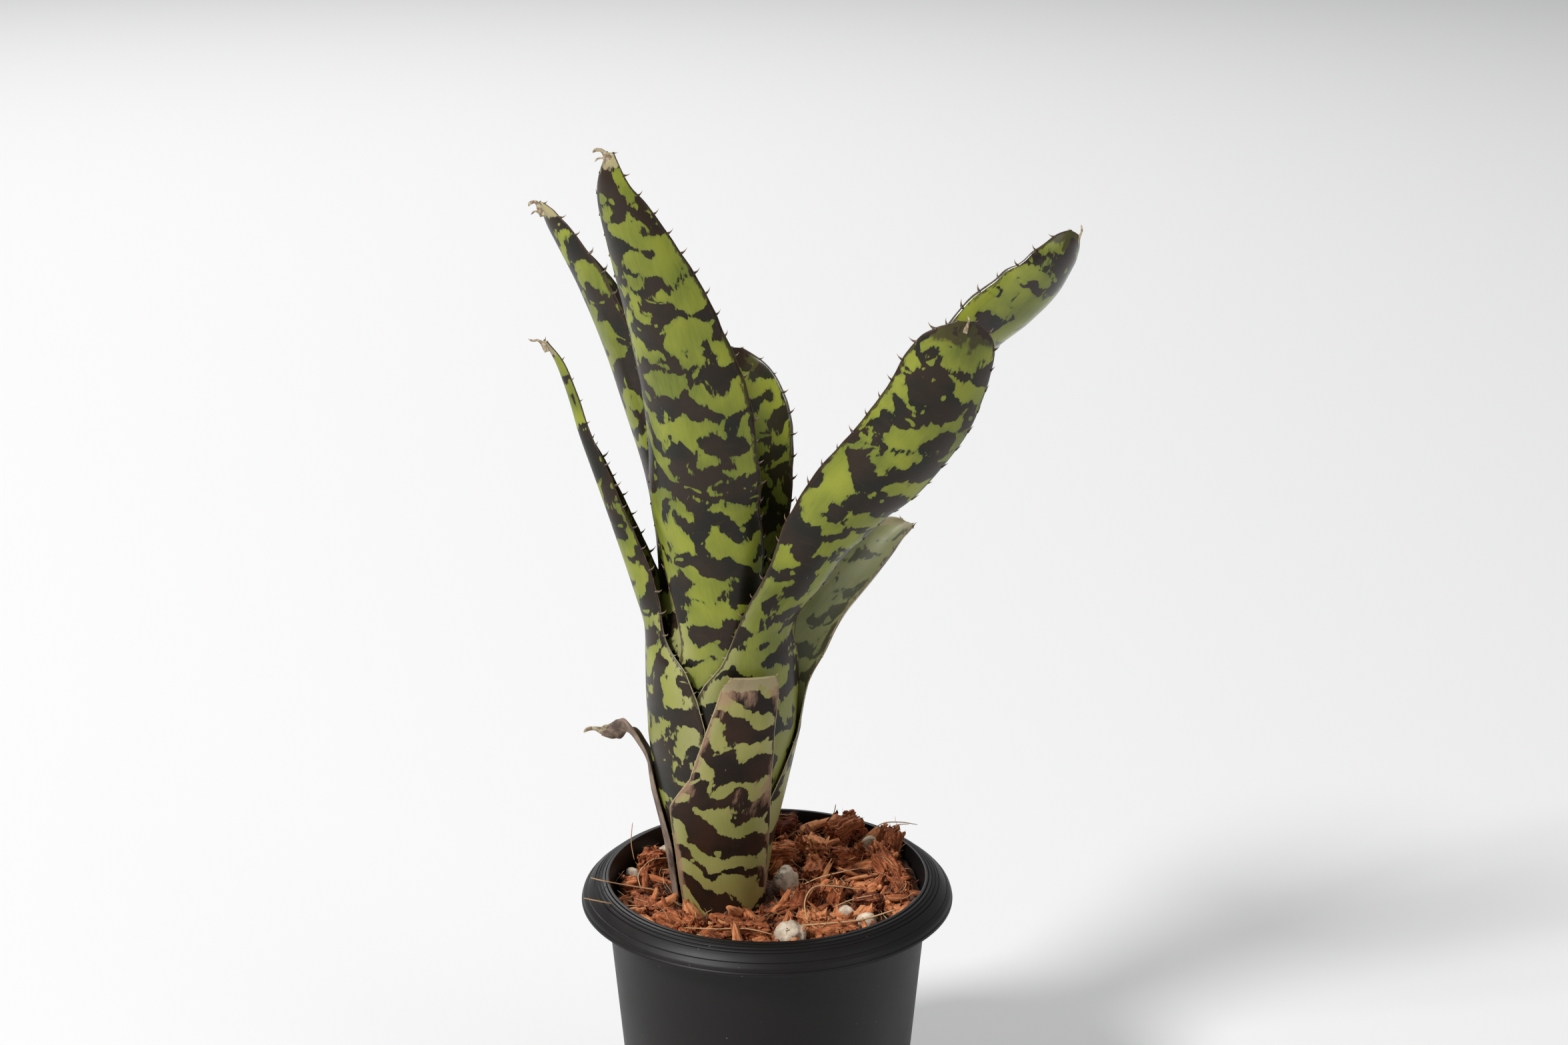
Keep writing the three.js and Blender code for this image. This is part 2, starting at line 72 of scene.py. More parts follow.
# %% [markdown]
# The camera comes first, so that every later choice can be judged from it. It looks down a
# little on the pot from the front, through a 65 mm lens that keeps the tall leaves natural.

# %% Camera
LENS_MM, LOOK_DOWN = 65.0, 17.43
camera_data = bpy.data.cameras.new("camera")
camera_data.lens = LENS_MM
camera_data.sensor_width = 36.0
camera = bpy.data.objects.new("camera", camera_data)
camera.location = (0.00545, -0.83967, 0.48702)
camera.rotation_euler = (math.radians(90 - LOOK_DOWN), 0, 0)
bpy.context.scene.collection.objects.link(camera)
bpy.context.scene.camera = camera
print("camera", tuple(round(c, 3) for c in camera.location))

# %% [markdown]
# Sizes are read from the frame instead of being typed again: the stem's box gives the plant's
# axis, and the pot's box gives the rim. Only the numbers that shape the leaves are listed.

# %% Places taken from the frame
def span(name):
    low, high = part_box(name)
    return Vector(low), Vector(high)


pot_low, pot_high = span("pot")
stem_low, stem_high = span("stem")
PLANT = Vector(((stem_low.x + stem_high.x) / 2, (stem_low.y + stem_high.y) / 2, 0))
STEM_TOP_ABOVE_MIX = 12 * MM
MIX_Z = stem_high.z - STEM_TOP_ABOVE_MIX
RIM_R = (pot_high.x - pot_low.x) / 2
print("rim radius mm", round(RIM_R / MM, 1), "mix level mm", round(MIX_Z / MM, 1))

# %% [markdown]
# Small helpers: one makes a smooth mesh object from points and faces, one finishes a piece by
# saying which body it rides on and hiding the solids it stands for, one copies a solid of the
# frame, and one turns a modified object into a plain mesh.

# %% Helpers for meshes
def mesh_object(name, points, faces):
    mesh = bpy.data.meshes.new(name)
    mesh.from_pydata([tuple(p) for p in points], [], faces)
    mesh.validate()
    mesh.shade_smooth()
    obj = bpy.data.objects.new(name, mesh)
    bpy.context.scene.collection.objects.link(obj)
    return obj


def finish_piece(obj, nodes=()):
    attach(obj, "root")
    if nodes:
        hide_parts(*nodes)
    print(obj.name, "faces", len(obj.data.polygons))


def merged_copy(node_name, name):
    """A copy of a solid's mesh with its loose triangles joined up."""
    obj = bpy.data.objects.new(name, frame["nodes"][node_name].data.copy())
    obj.data.name = name
    bpy.context.scene.collection.objects.link(obj)
    bm = bmesh.new()
    bm.from_mesh(obj.data)
    bmesh.ops.remove_doubles(bm, verts=bm.verts, dist=1e-6)
    bm.to_mesh(obj.data)
    bm.free()
    obj.data.materials.clear()
    return obj


def apply_modifiers(obj):
    """Turns the evaluated object into a plain mesh and drops its modifiers."""
    bpy.context.view_layer.update()
    graph = bpy.context.evaluated_depsgraph_get()
    mesh = bpy.data.meshes.new_from_object(obj.evaluated_get(graph))
    if obj.type == "MESH":
        obj.modifiers.clear()
        obj.data = mesh
        mesh.name = obj.name
        return obj
    name = obj.name
    bpy.data.objects.remove(obj)
    made = bpy.data.objects.new(name, mesh)
    bpy.context.scene.collection.objects.link(made)
    return made


# %% [markdown]
# Materials are built from shader nodes. This little class keeps the wiring readable: it adds a
# node, links sockets by name, and offers the few blocks that recur, such as noise, a colour
# ramp between two stops, a mix of two colours and a bump.

# %% A helper for shader trees
class Shader:
    def __init__(self, name):
        self.material = bpy.data.materials.new(name)
        self.material.use_nodes = True
        self.tree = self.material.node_tree
        self.bsdf = self.tree.nodes["Principled BSDF"]

    def add(self, kind, **values):
        node = self.tree.nodes.new(kind)
        for key, value in values.items():
            if hasattr(node, key):
                setattr(node, key, value)
            else:
                self.plug(node.inputs[key.replace("_", " ")], value)
        return node

    def plug(self, socket, value):
        if isinstance(value, bpy.types.NodeSocket):
            self.tree.links.new(value, socket)
        else:
            socket.default_value = value

    def attribute(self, name, output="Fac"):
        return self.add("ShaderNodeAttribute", attribute_name=name).outputs[output]

    def math(self, operation, a, b=0.0, c=0.0, clamp=False):
        node = self.add("ShaderNodeMath", operation=operation, use_clamp=clamp)
        for socket, value in zip(node.inputs, (a, b, c)):
            self.plug(socket, value)
        return node.outputs[0]

    def vector(self, operation, a, b):
        node = self.add("ShaderNodeVectorMath", operation=operation)
        self.plug(node.inputs[0], a)
        self.plug(node.inputs[1], b)
        return node.outputs[0]

    def part(self, vector, index):
        node = self.add("ShaderNodeSeparateXYZ")
        self.plug(node.inputs[0], vector)
        return node.outputs[index]

    def combine(self, x, y, z):
        node = self.add("ShaderNodeCombineXYZ")
        for socket, value in zip(node.inputs, (x, y, z)):
            self.plug(socket, value)
        return node.outputs[0]

    def scaled(self, vector, scale, offset=(0, 0, 0)):
        node = self.add("ShaderNodeMapping")
        self.plug(node.inputs["Vector"], vector)
        node.inputs["Scale"].default_value = scale
        node.inputs["Location"].default_value = offset
        return node.outputs[0]

    def noise(self, vector, scale, detail=3.0, rough=0.5, output=0):
        node = self.add("ShaderNodeTexNoise")
        self.plug(node.inputs["Vector"], vector)
        node.inputs["Scale"].default_value = scale
        node.inputs["Detail"].default_value = detail
        node.inputs["Roughness"].default_value = rough
        return node.outputs[output]

    def voronoi(self, vector, scale):
        node = self.add("ShaderNodeTexVoronoi")
        self.plug(node.inputs["Vector"], vector)
        node.inputs["Scale"].default_value = scale
        return node.outputs["Distance"]

    def step(self, value, low, high):
        """0 below low, 1 above high, with a straight ramp between them."""
        node = self.add("ShaderNodeMapRange")
        self.plug(node.inputs["Value"], value)
        node.inputs["From Min"].default_value = low
        node.inputs["From Max"].default_value = high
        return node.outputs["Result"]

    def mix(self, share, a, b):
        node = self.add("ShaderNodeMix", data_type="RGBA")
        self.plug(node.inputs["Factor"], share)
        self.plug(node.inputs[6], a)
        self.plug(node.inputs[7], b)
        return node.outputs[2]

    def bump(self, height, strength, distance, normal=None):
        node = self.add("ShaderNodeBump")
        self.plug(node.inputs["Height"], height)
        node.inputs["Strength"].default_value = strength
        node.inputs["Distance"].default_value = distance
        if normal is not None:
            self.plug(node.inputs["Normal"], normal)
        return node.outputs["Normal"]

    def out(self, **values):
        for key, value in values.items():
            self.plug(self.bsdf.inputs[key.replace("_", " ")], value)
        return self.material


# %% [markdown]
# ## Leaves
# Each leaf is one surface swept along its middle line. In its base every cross-section is part
# of a level circle about the plant's axis, so the bases nest like rolled paper. In its blade
# the cross-section is an arc that turns square to the leaf, opens, flattens and narrows to the
# tip. A table of a few stations for each leaf is enough, and a smooth curve runs through them.

# %% The tube that the leaf bases make
# Rows of height and radius, and of height and lean to the right, in millimetres. Each layer of
# bases lies one LAYER further in. A blade's curve starts from the last of BASE_ROWS that is
# under its base's top, and the stem's cone says where a base begins.
TUBE = [(-8, 15.4), (0, 15.9), (20, 18.7), (38, 22.8), (58, 26.0), (72, 26.6), (95, 26.6)]
TUBE_LEAN = [(10, 0.0), (38, 0.2), (60, 1.5), (95, 1.6)]
LEAF_T = 0.85
LAYER = 1.5
BASE_ROWS = (10, 20, 29, 38, 48, 58, 65, 72, 80)
CONE_R, CONE_Z, CONE_SLOPE, FOOT_GAP = 15.2, -7.0, 0.4, 1.2


def look_up(rows, key):
    keys = [row[0] for row in rows]
    return [float(np.interp(key, keys, column)) for column in list(zip(*rows))[1:]]


def foot_of(layer):
    """Height at which a base of this layer meets the stem's cone."""
    z = 0.0
    for _ in range(20):
        inside = look_up(TUBE, z)[0] - LAYER * layer - LEAF_T
        z = CONE_Z + (CONE_R - inside) / CONE_SLOPE + FOOT_GAP
    return z


print("feet of the five layers, mm above the mix:", [round(foot_of(k), 1) for k in range(5)])

# %% The stations of the nine leaves, in millimetres from the plant's axis at mix level
# base: height, azimuth from, azimuth to. blade: x, y, z, azimuth of the outer face, half
# width, half angle.
LEAVES = {
    "leaf_dried": dict(layer=0, base=[(0, 150, 212), (20, 152, 213), (38, 158, 208),
                                      (46, 164, 200)],
        blade=[(-26.4, 1, 51, 180, 5.2, 40), (-29.6, 2, 54.6, 180, 4.6, 55),
               (-34, 3, 55, 180, 3.8, 60), (-38.4, 4, 54.4, 180, 1.6, 50)]),
    "leaf_front_old": dict(layer=0, base=[(0, -140, -25), (20, -141, -35), (36, -136, -45),
                                          (48, -114, -50), (62, -104, -53), (75, -94, -50)],
        blade=[(10.6, -25.4, 79.5, -70, 9.4, 20), (11.4, -26.4, 83.5, -68, 7.4, 12)]),
    "leaf_right_back": dict(layer=1, base=[(0, -50, 92), (38, -42, 94), (45, -32, 94),
                                           (54, -21, 92), (61, -12, 88)],
        blade=[(23, 17, 72, 38, 22, 48), (29.5, 21, 80.5, 35, 21, 48),
               (37.5, 27, 90, 33, 20.5, 48), (46, 33, 98.5, 32, 19.5, 46),
               (52.5, 37.6, 104.5, 32, 16.5, 44), (57, 41, 108.4, 32, 12.5, 40),
               (60, 43.2, 110.8, 32, 8, 34), (61.2, 44, 111.8, 32, 3, 24)]),
    "leaf_left": dict(layer=1, base=[(0, 100, 258), (40, 100, 258), (65, 104, 257),
                                     (75, 108, 251), (84, 116, 242)],
        blade=[(-23.8, -0.5, 93, 181, 15.5, 54), (-26.5, -1, 103, 182, 15, 66),
               (-30.5, -1, 116, 184, 12.8, 74), (-35.2, -1, 131, 184, 10, 76),
               (-39.8, -1, 145, 188, 7.8, 76), (-43, -1, 155, 194, 5.4, 70),
               (-46, 0.5, 166, 200, 4.2, 60), (-49.5, 0, 177, 204, 3.4, 50),
               (-53, -1, 184, 204, 1.6, 40)]),
    "leaf_front_right": dict(layer=2, base=[(0, -125, 26), (58, -123, 26), (70, -117, 14),
                                            (80, -104, -4), (86, -92, -14)],
        blade=[(16, -18.2, 95, -53, 11.8, 30), (20, -19.5, 104, -53, 11, 30),
               (26.5, -23, 115, -60, 11.8, 34), (33.5, -28, 128, -68, 14.5, 45),
               (42, -32.5, 141, -72, 16.2, 48), (51.5, -35.5, 152, -74, 17, 48),
               (59, -38, 162, -75, 17.2, 48), (65, -40, 172, -75, 16.6, 46),
               (69.3, -41.5, 183.5, -75, 15.4, 43), (71.9, -42.5, 192.5, -75, 12.4, 36),
               (73, -43, 197.5, -75, 7.8, 26), (73.4, -43.2, 200.4, -75, 2.4, 14)]),
    "leaf_back": dict(layer=2, base=[(0, 36, 176), (60, 36, 172), (75, 40, 137),
                                     (88, 46, 110)],
        blade=[(2, 26, 104, 88, 16, 38), (3, 30, 121, 90, 21.5, 48),
               (4, 35.5, 138, 90, 22, 50), (4.5, 40.5, 151, 90, 20, 48),
               (4.8, 44, 160.5, 90, 15, 44), (5, 46, 166.5, 90, 9, 36),
               (5.2, 47, 170.5, 90, 1.6, 20)]),
    "leaf_front_left": dict(layer=3, base=[(0, -165, -32), (60, -162, -30), (75, -140, -32),
                                           (83, -130, -36), (90, -126, -39)],
        blade=[(0.5, -21.6, 105, -88, 16, 51), (-3.5, -22.5, 121, -104, 20, 58),
               (-7.7, -24.5, 135, -114, 22.5, 60), (-9.6, -27, 152, -119, 23.5, 61),
               (-11.8, -30, 171, -120, 23.2, 61), (-15.5, -32, 188, -120, 20.5, 60),
               (-20.6, -34, 206, -121, 17.5, 60), (-26.5, -35.5, 224, -122, 12.5, 58),
               (-30.3, -36, 237, -124, 7.6, 52), (-30, -35, 248.5, -125, 1.4, 30)]),
    "leaf_right": dict(layer=3, base=[(0, -24, 100), (60, -24, 90), (75, -26, 68),
                                      (88, -28, 50)],
        blade=[(26.6, 7, 102, 15, 13, 54), (37.5, 6.5, 118, 12, 15.5, 66),
               (54.2, 4.6, 140, 2, 18.5, 76), (69.9, 1.8, 161, -10, 21, 80),
               (83.2, -1.1, 180, -20, 22, 80), (95, -2.7, 191.5, -27, 20.5, 76),
               (102.7, -3.4, 200.5, -30, 18.5, 70), (106.8, -3.6, 208.5, -32, 15, 60),
               (108.6, -2.6, 214, -33, 10, 46), (109.6, -1, 217.5, -33, 3.6, 30)]),
    "leaf_left_back": dict(layer=4, base=[(0, 50, 242), (60, 50, 242), (88, 60, 238)],
        blade=[(-18.2, 8.5, 105, 162, 19.5, 69), (-20.2, 9, 122, 174, 20, 62),
               (-23.4, 8.5, 140, 181, 21, 60), (-29.3, 9, 160, 183, 22.5, 64),
               (-35.6, 10, 180, 184, 23, 65), (-42.5, 9.5, 198, 188, 18.5, 62),
               (-48, 9, 210, 194, 13.5, 56), (-51.6, 8.5, 218, 200, 9.5, 48),
               (-53.2, 8, 223, 204, 5.4, 40), (-53.8, 7.8, 225.4, 204, 1.8, 30)]),
}
print("leaves", len(LEAVES))

# %% [markdown]
# A station in the base follows from the tube alone. Between blade stations a Catmull-Rom curve
# is used, because it passes through every station it is given and needs no handles.

# %% Rows of a leaf
def base_station(leaf, z):
    start, end = look_up(leaf["base"], z)
    r = look_up(TUBE, z)[0] - LAYER * leaf["layer"]
    middle = math.radians((start + end) / 2)
    half = math.radians((end - start) / 2)
    x = look_up(TUBE_LEAN, z)[0] + r * math.cos(middle)
    return np.array([x, r * math.sin(middle), z, middle, r * half, half])


def curve_point(a, b, c, d, t):
    return 0.5 * (2 * b + (c - a) * t + (2 * a - 5 * b + 4 * c - d) * t ** 2
                  + (3 * b - a - 3 * c + d) * t ** 3)


def leaf_rows(leaf, base_step=3.0, per_span=9, turns=2.0):
    foot = foot_of(leaf["layer"])
    top = leaf["base"][-1][0]
    count = max(2, round((top - foot) / base_step))
    rows = [(base_station(leaf, z), 0.0) for z in np.linspace(foot, top, count + 1)]
    before = [z for z in BASE_ROWS if z < top - 2][-1]
    blade = [np.array([x, y, z, math.radians(f), w, math.radians(c)])
             for x, y, z, f, w, c in leaf["blade"]]
    stations = [base_station(leaf, before), base_station(leaf, top)] + blade
    for i in range(1, len(stations) - 1):
        a, b, c = stations[i - 1], stations[i], stations[i + 1]
        d = stations[min(i + 2, len(stations) - 1)]
        for k in range(1, per_span + 1):
            t = k / per_span
            rows.append((curve_point(a, b, c, d, t), min(1.0, (i - 1 + t) / turns)))
    return rows


print("rows of the tallest leaf", len(leaf_rows(LEAVES["leaf_front_left"])))

# %% [markdown]
# The skin is built twice, outside and inside, and closed round the edge, so that a leaf is a
# real sheet of tissue that thins towards its margins. Along the way the mesh keeps what the
# finish needs: how far across and how far along the leaf a point is (the UV map, in units of
# ten millimetres), and how near the margin and on which face it lies.

# %% Building a leaf
def leaf_mesh(name, leaf, seed, columns=44):
    rows = leaf_rows(leaf)
    middle = [Vector(s[:3]) for s, _ in rows]
    length = [0.0]
    for a, b in zip(middle, middle[1:]):
        length.append(length[-1] + (b - a).length)
    points, across, along, inner, margin, tip = [], [], [], [], [], []
    rims = ([], [])
    for i, (s, turn) in enumerate(rows):
        tangent = middle[min(i + 1, len(rows) - 1)] - middle[max(i - 1, 0)]
        tangent = (Vector((0, 0, 1)) * (1 - turn) + tangent.normalized() * turn).normalized()
        face = Vector((math.cos(s[3]), math.sin(s[3]), 0))
        face = (face - tangent * face.dot(tangent)).normalized()
        side = tangent.cross(face)
        width, cup = max(s[4], 0.5), s[5]
        radius = width / cup
        centre = middle[i] - face * radius
        free = min(1.0, max(0.0, turn * 1.4))
        for skin in (0, 1):
            for j in range(columns + 1):
                u = 2 * j / columns - 1
                # A slow ripple along the margin and a faint sway of the whole surface.
                ripple = noise.noise(Vector((length[i] * 0.06, u * 0.8, seed * 7.1)))
                edge = noise.noise(Vector((length[i] * 0.16, 3.0 * (u > 0), seed * 3.3)))
                reach = u * (1 + 0.025 * free * edge * abs(u))
                thin = LEAF_T * (0.42 + 0.58 * (1 - abs(u) ** 6))
                r = radius + free * ripple * 0.55 * abs(u) ** 2 - skin * thin
                angle = cup * reach
                p = centre + face * (r * math.cos(angle)) + side * (r * math.sin(angle))
                points.append(p * MM + Vector((PLANT.x, PLANT.y, MIX_Z)))
                across.append(u * width)
                along.append(length[i])
                inner.append(float(skin))
                margin.append(abs(u))
                tip.append(length[-1] - length[i])
        for rim, u_sign in ((rims[0], -1), (rims[1], 1)):
            outward = (side * u_sign * math.cos(cup) - face * math.sin(cup)).normalized()
            j = 0 if u_sign < 0 else columns
            p = (points[-(2 * columns + 2) + j] + points[-(columns + 1) + j]) / 2
            rim.append((p, outward, tangent.copy(), width, free, length[i]))
    values = {"inner": inner, "margin": margin, "height": along, "tip": tip}
    return close_leaf(name, points, len(rows), columns, across, values), rims


def close_leaf(name, points, count, columns, across, values):
    faces = []
    at = lambda i, skin, j: (i * 2 + skin) * (columns + 1) + j
    for i in range(count - 1):
        for j in range(columns):
            faces.append((at(i, 0, j), at(i, 0, j + 1), at(i + 1, 0, j + 1), at(i + 1, 0, j)))
            faces.append((at(i, 1, j + 1), at(i, 1, j), at(i + 1, 1, j), at(i + 1, 1, j + 1)))
        faces.append((at(i, 1, 0), at(i, 0, 0), at(i + 1, 0, 0), at(i + 1, 1, 0)))
        k = columns
        faces.append((at(i, 0, k), at(i, 1, k), at(i + 1, 1, k), at(i + 1, 0, k)))
    last = count - 1
    for j in range(columns):
        faces.append((at(0, 0, j), at(0, 1, j), at(0, 1, j + 1), at(0, 0, j + 1)))
        faces.append((at(last, 0, j), at(last, 0, j + 1), at(last, 1, j + 1), at(last, 1, j)))
    obj = mesh_object(name, points, faces)
    mesh = obj.data
    uv = mesh.uv_layers.new(name="leaf_uv")
    for loop in mesh.loops:
        v = loop.vertex_index
        uv.data[loop.index].uv = (across[v] * 0.1, values["height"][v] * 0.1)
    for key, numbers in values.items():
        layer = mesh.attributes.new(key, "FLOAT", "POINT")
        layer.data.foreach_set("value", numbers)
    return obj


# %% [markdown]
# ### The marbled leaf finish
# The colour is laid down the way the plant shows it: a yellow-green ground, and dark patches
# that run mostly across the leaf. They could be painted one by one, but a rule is easier to
# change. A sine along the leaf gives cross bands, and a slow noise pushes them until they break
# and join. Blotches and small blots are added, and the sum is cut at a threshold. Short strokes
# along the leaf are added before the cut, and they give the patches their brushed, ragged
# edges. Small islands of green are cut back out of them.

# %% The leaf material
STRAW_TIP = (0.36, 0.30, 0.17)
BROWN_TIP = (0.030, 0.015, 0.009)
DEEP_GREEN = (0.085, 0.120, 0.022, 1)
TUBE_GREEN = (0.250, 0.248, 0.072, 1)
CREAM = (0.38, 0.36, 0.17, 1)
TANNED = (0.30, 0.20, 0.060, 1)
MARGIN_BROWN = (0.030, 0.017, 0.010, 1)
INNER_GREY = (0.20, 0.22, 0.090, 1)
DRIED_BROWN = (0.33, 0.20, 0.125, 1)
SCALE_DUST = (0.30, 0.28, 0.17, 1)
# The bands' sine turns this many radians in a centimetre: one band every 13 mm.
BAND_TURN = 4.7
# Radians by which the slow noise can push a band on the blade, and how much less on the tube.
BLADE_PUSH, TUBE_PUSH_LESS = 12.0, 4.0
# What blotches, small blots and brush strokes each add before the cut.
BLOTCH_SHARE, BLOT_SHARE, STROKE_SHARE = 0.64, 0.36, 0.16


def leaf_material(name, seed, ground=((0.238, 0.262, 0.026), (0.112, 0.135, 0.016)),
                  patch=((0.022, 0.012, 0.006), (0.009, 0.008, 0.004)), cover=0.5,
                  slant=0.0, banding=0.078, tip=STRAW_TIP, tip_length=4.6, inside=0.0,
                  browning=0.0, rough=0.36, gloss=0.16):
    sh = Shader(name)
    uv = sh.add("ShaderNodeUVMap", uv_map="leaf_uv").outputs[0]
    place = sh.vector("ADD", uv, (seed * 3.7, seed * 5.3, seed * 1.9))
    high = sh.attribute("height")
    margin = sh.attribute("margin")
    # Bend the plane first, so that no patch follows a straight line.
    bend = sh.vector("SUBTRACT", sh.noise(place, 0.9, 1.0, output=1), (0.5, 0.5, 0.5))
    bent = sh.vector("ADD", place, sh.vector("MULTIPLY", bend, (1.1, 0.8, 0.0)))
    # A slow noise pushes the cross bands up and down the leaf, most on the blade, and the
    # slant turns them off the level.
    low_part = sh.step(high, 125.0, 65.0)
    push = sh.noise(sh.scaled(place, (0.95, 0.55, 1.0), (5, 2, 1)), 1.0, 0.6, 0.4)
    shove = sh.math("SUBTRACT", BLADE_PUSH, sh.math("MULTIPLY", low_part, TUBE_PUSH_LESS))
    turn = sh.math("MULTIPLY_ADD", sh.part(bent, 1), BAND_TURN,
                   sh.math("MULTIPLY", push, shove))
    turn = sh.math("MULTIPLY_ADD", sh.part(bent, 0), slant, turn)
    bands = sh.math("SINE", turn)
    blotch = sh.noise(sh.scaled(bent, (1.05, 0.95, 1.0)), 1.0, 0.6, 0.45)
    blots = sh.noise(sh.scaled(bent, (2.7, 2.5, 1.0), (3, 7, 2)), 1.0, 1.0, 0.5)
    field = sh.math("MULTIPLY", bands, banding)
    field = sh.math("MULTIPLY_ADD", blotch, BLOTCH_SHARE, field)
    field = sh.math("MULTIPLY_ADD", blots, BLOT_SHARE, field)
    # The brushed edges: short strokes along the leaf.
    brush = sh.noise(sh.scaled(place, (11.0, 4.0, 1.0)), 1.0, 2.0, 0.6)
    stroke = sh.math("SUBTRACT", brush, 0.5)
    field = sh.math("MULTIPLY_ADD", stroke, STROKE_SHARE, field)
    cut = 0.5 + (0.5 - cover) * 0.34
    dark = sh.step(field, cut - 0.009, cut + 0.010)
    isles = sh.noise(sh.scaled(bent, (2.4, 2.8, 1.0), (9, 4, 1)), 1.0, 0.3)
    isle = sh.math("MULTIPLY_ADD", stroke, 0.08, isles)
    dark = sh.math("MULTIPLY", dark, sh.step(isle, 0.740, 0.722), clamp=True)
    # The thin dark line along the margin.
    ragged = sh.math("ADD", margin, sh.math("MULTIPLY", stroke, STROKE_SHARE))
    line = sh.step(ragged, 0.930, 0.960)
    # Slow changes of both colours.
    slow = sh.noise(place, 0.55, 2.0)
    fine = sh.noise(sh.scaled(place, (9.0, 1.5, 1.0)), 1.0, 4.0, 0.6)
    green = sh.mix(sh.step(slow, 0.36, 0.66), (*ground[0], 1), (*ground[1], 1))
    green = sh.mix(sh.math("MULTIPLY", sh.step(fine, 0.35, 0.75), 0.30), green,
                   (ground[0][0] * 1.20, ground[0][1] * 1.15, ground[0][2] * 1.8, 1))
    brown = sh.mix(sh.step(sh.noise(place, 0.8, 2.0), 0.4, 0.62),
                   (*patch[0], 1), (*patch[1], 1))
    # Ground close to a patch is a little deeper in tone.
    halo = sh.step(field, cut - 0.055, cut)
    green = sh.mix(sh.math("MULTIPLY", halo, 0.35), green, DEEP_GREEN)
    # The tube is paler than the blades, and its foot is tanned.
    pale_tube = sh.math("MULTIPLY", sh.step(high, 105.0, 60.0), 0.62)
    green = sh.mix(pale_tube, green, TUBE_GREEN)
    # Low on the plant the margins are bleached almost to cream.
    bleached = sh.math("MULTIPLY", sh.step(margin, 0.62, 0.92), sh.step(high, 120.0, 85.0))
    green = sh.mix(sh.math("MULTIPLY", bleached, 0.55), green, CREAM)
    tan = sh.step(high, 22.0, 3.0)
    green = sh.mix(sh.math("MULTIPLY", tan, 0.55), green, TANNED)
    colour = sh.mix(dark, green, brown)
    colour = sh.mix(sh.math("MULTIPLY", line, 0.85), colour, MARGIN_BROWN)
    # The inner face is greyer.
    inner = sh.attribute("inner")
    colour = sh.mix(sh.math("MULTIPLY", inner, 0.05 + inside), colour, INNER_GREY)
    if browning:
        stain = sh.noise(sh.scaled(place, (1.6, 0.55, 1.0), (5, 1, 0)), 1.0, 5.0, 0.65)
        top = sh.math("MULTIPLY", sh.step(high, 70.0, 92.0), 0.16)
        edge = sh.math("ADD", stain, sh.math("MULTIPLY", sh.math("POWER", margin, 3.0), 0.22))
        dry = sh.step(sh.math("ADD", edge, top), 0.64, 0.77)
        colour = sh.mix(sh.math("MULTIPLY", dry, browning), colour, DRIED_BROWN)
    # The last few millimetres dry out, to straw or to brown.
    worn = sh.math("MULTIPLY_ADD", sh.math("SUBTRACT", blots, 0.5), 9.0, sh.attribute("tip"))
    end = sh.step(sh.math("MULTIPLY_ADD", stroke, 4.0, worn), tip_length, tip_length * 0.8)
    colour = sh.mix(sh.math("MULTIPLY", end, 0.8), colour, (*tip, 1))
    # Scurf: faint pale cross bands of tiny scales, and specks of dust.
    scurf = sh.noise(sh.scaled(place, (1.2, 7.0, 1.0), (2, 2, 2)), 1.0, 5.0, 0.7)
    speck = sh.step(sh.voronoi(sh.scaled(place, (9, 9, 1)), 1.0), 0.07, 0.035)
    pale = sh.math("ADD", sh.math("MULTIPLY", sh.step(scurf, 0.58, 0.90), 0.07),
                   sh.math("MULTIPLY", speck, 0.11))
    colour = sh.mix(pale, colour, SCALE_DUST)
    # Ribs run along the leaf, over a fine grain of cells.
    ribs = sh.noise(sh.scaled(place, (26.0, 0.35, 1.0)), 1.0, 3.0, 0.6)
    grain = sh.noise(place, 42.0, 2.0, 0.6)
    normal = sh.bump(ribs, 0.30, 0.00022)
    normal = sh.bump(grain, 0.20, 0.00012, normal)
    wear = sh.math("ADD", rough - 0.06, sh.math("MULTIPLY", slow, 0.16))
    wear = sh.math("ADD", wear, sh.math("MULTIPLY", scurf, 0.10))
    sh.out(Base_Color=colour, Roughness=wear, Normal=normal)
    sh.bsdf.inputs["Specular IOR Level"].default_value = 0.20
    sh.bsdf.inputs["Coat Weight"].default_value = gloss
    sh.bsdf.inputs["Coat Roughness"].default_value = 0.20
    sh.bsdf.inputs["Subsurface Weight"].default_value = 0.04
    sh.bsdf.inputs["Subsurface Radius"].default_value = (0.0012, 0.0016, 0.0004)
    return sh.material


# %% Materials of the withered leaf
def dry_leaf_material(name, seed):
    sh = Shader(name)
    uv = sh.add("ShaderNodeUVMap", uv_map="leaf_uv").outputs[0]
    place = sh.vector("ADD", uv, (seed * 2.1, seed * 4.1, 0.7))
    veins = sh.noise(sh.scaled(place, (18.0, 0.6, 1.0)), 1.0, 4.0, 0.65)
    stain = sh.noise(sh.scaled(place, (1.5, 1.1, 1.0)), 1.0, 5.0, 0.65)
    colour = sh.mix(sh.step(stain, 0.40, 0.58), (0.060, 0.034, 0.022, 1), (0.27, 0.195, 0.14, 1))
    colour = sh.mix(sh.math("MULTIPLY", sh.step(veins, 0.45, 0.7), 0.5), colour,
                    (0.05, 0.03, 0.02, 1))
    normal = sh.bump(veins, 0.6, 0.0005)
    normal = sh.bump(stain, 0.4, 0.0008, normal)
    return sh.out(Base_Color=colour, Roughness=0.72, Normal=normal)


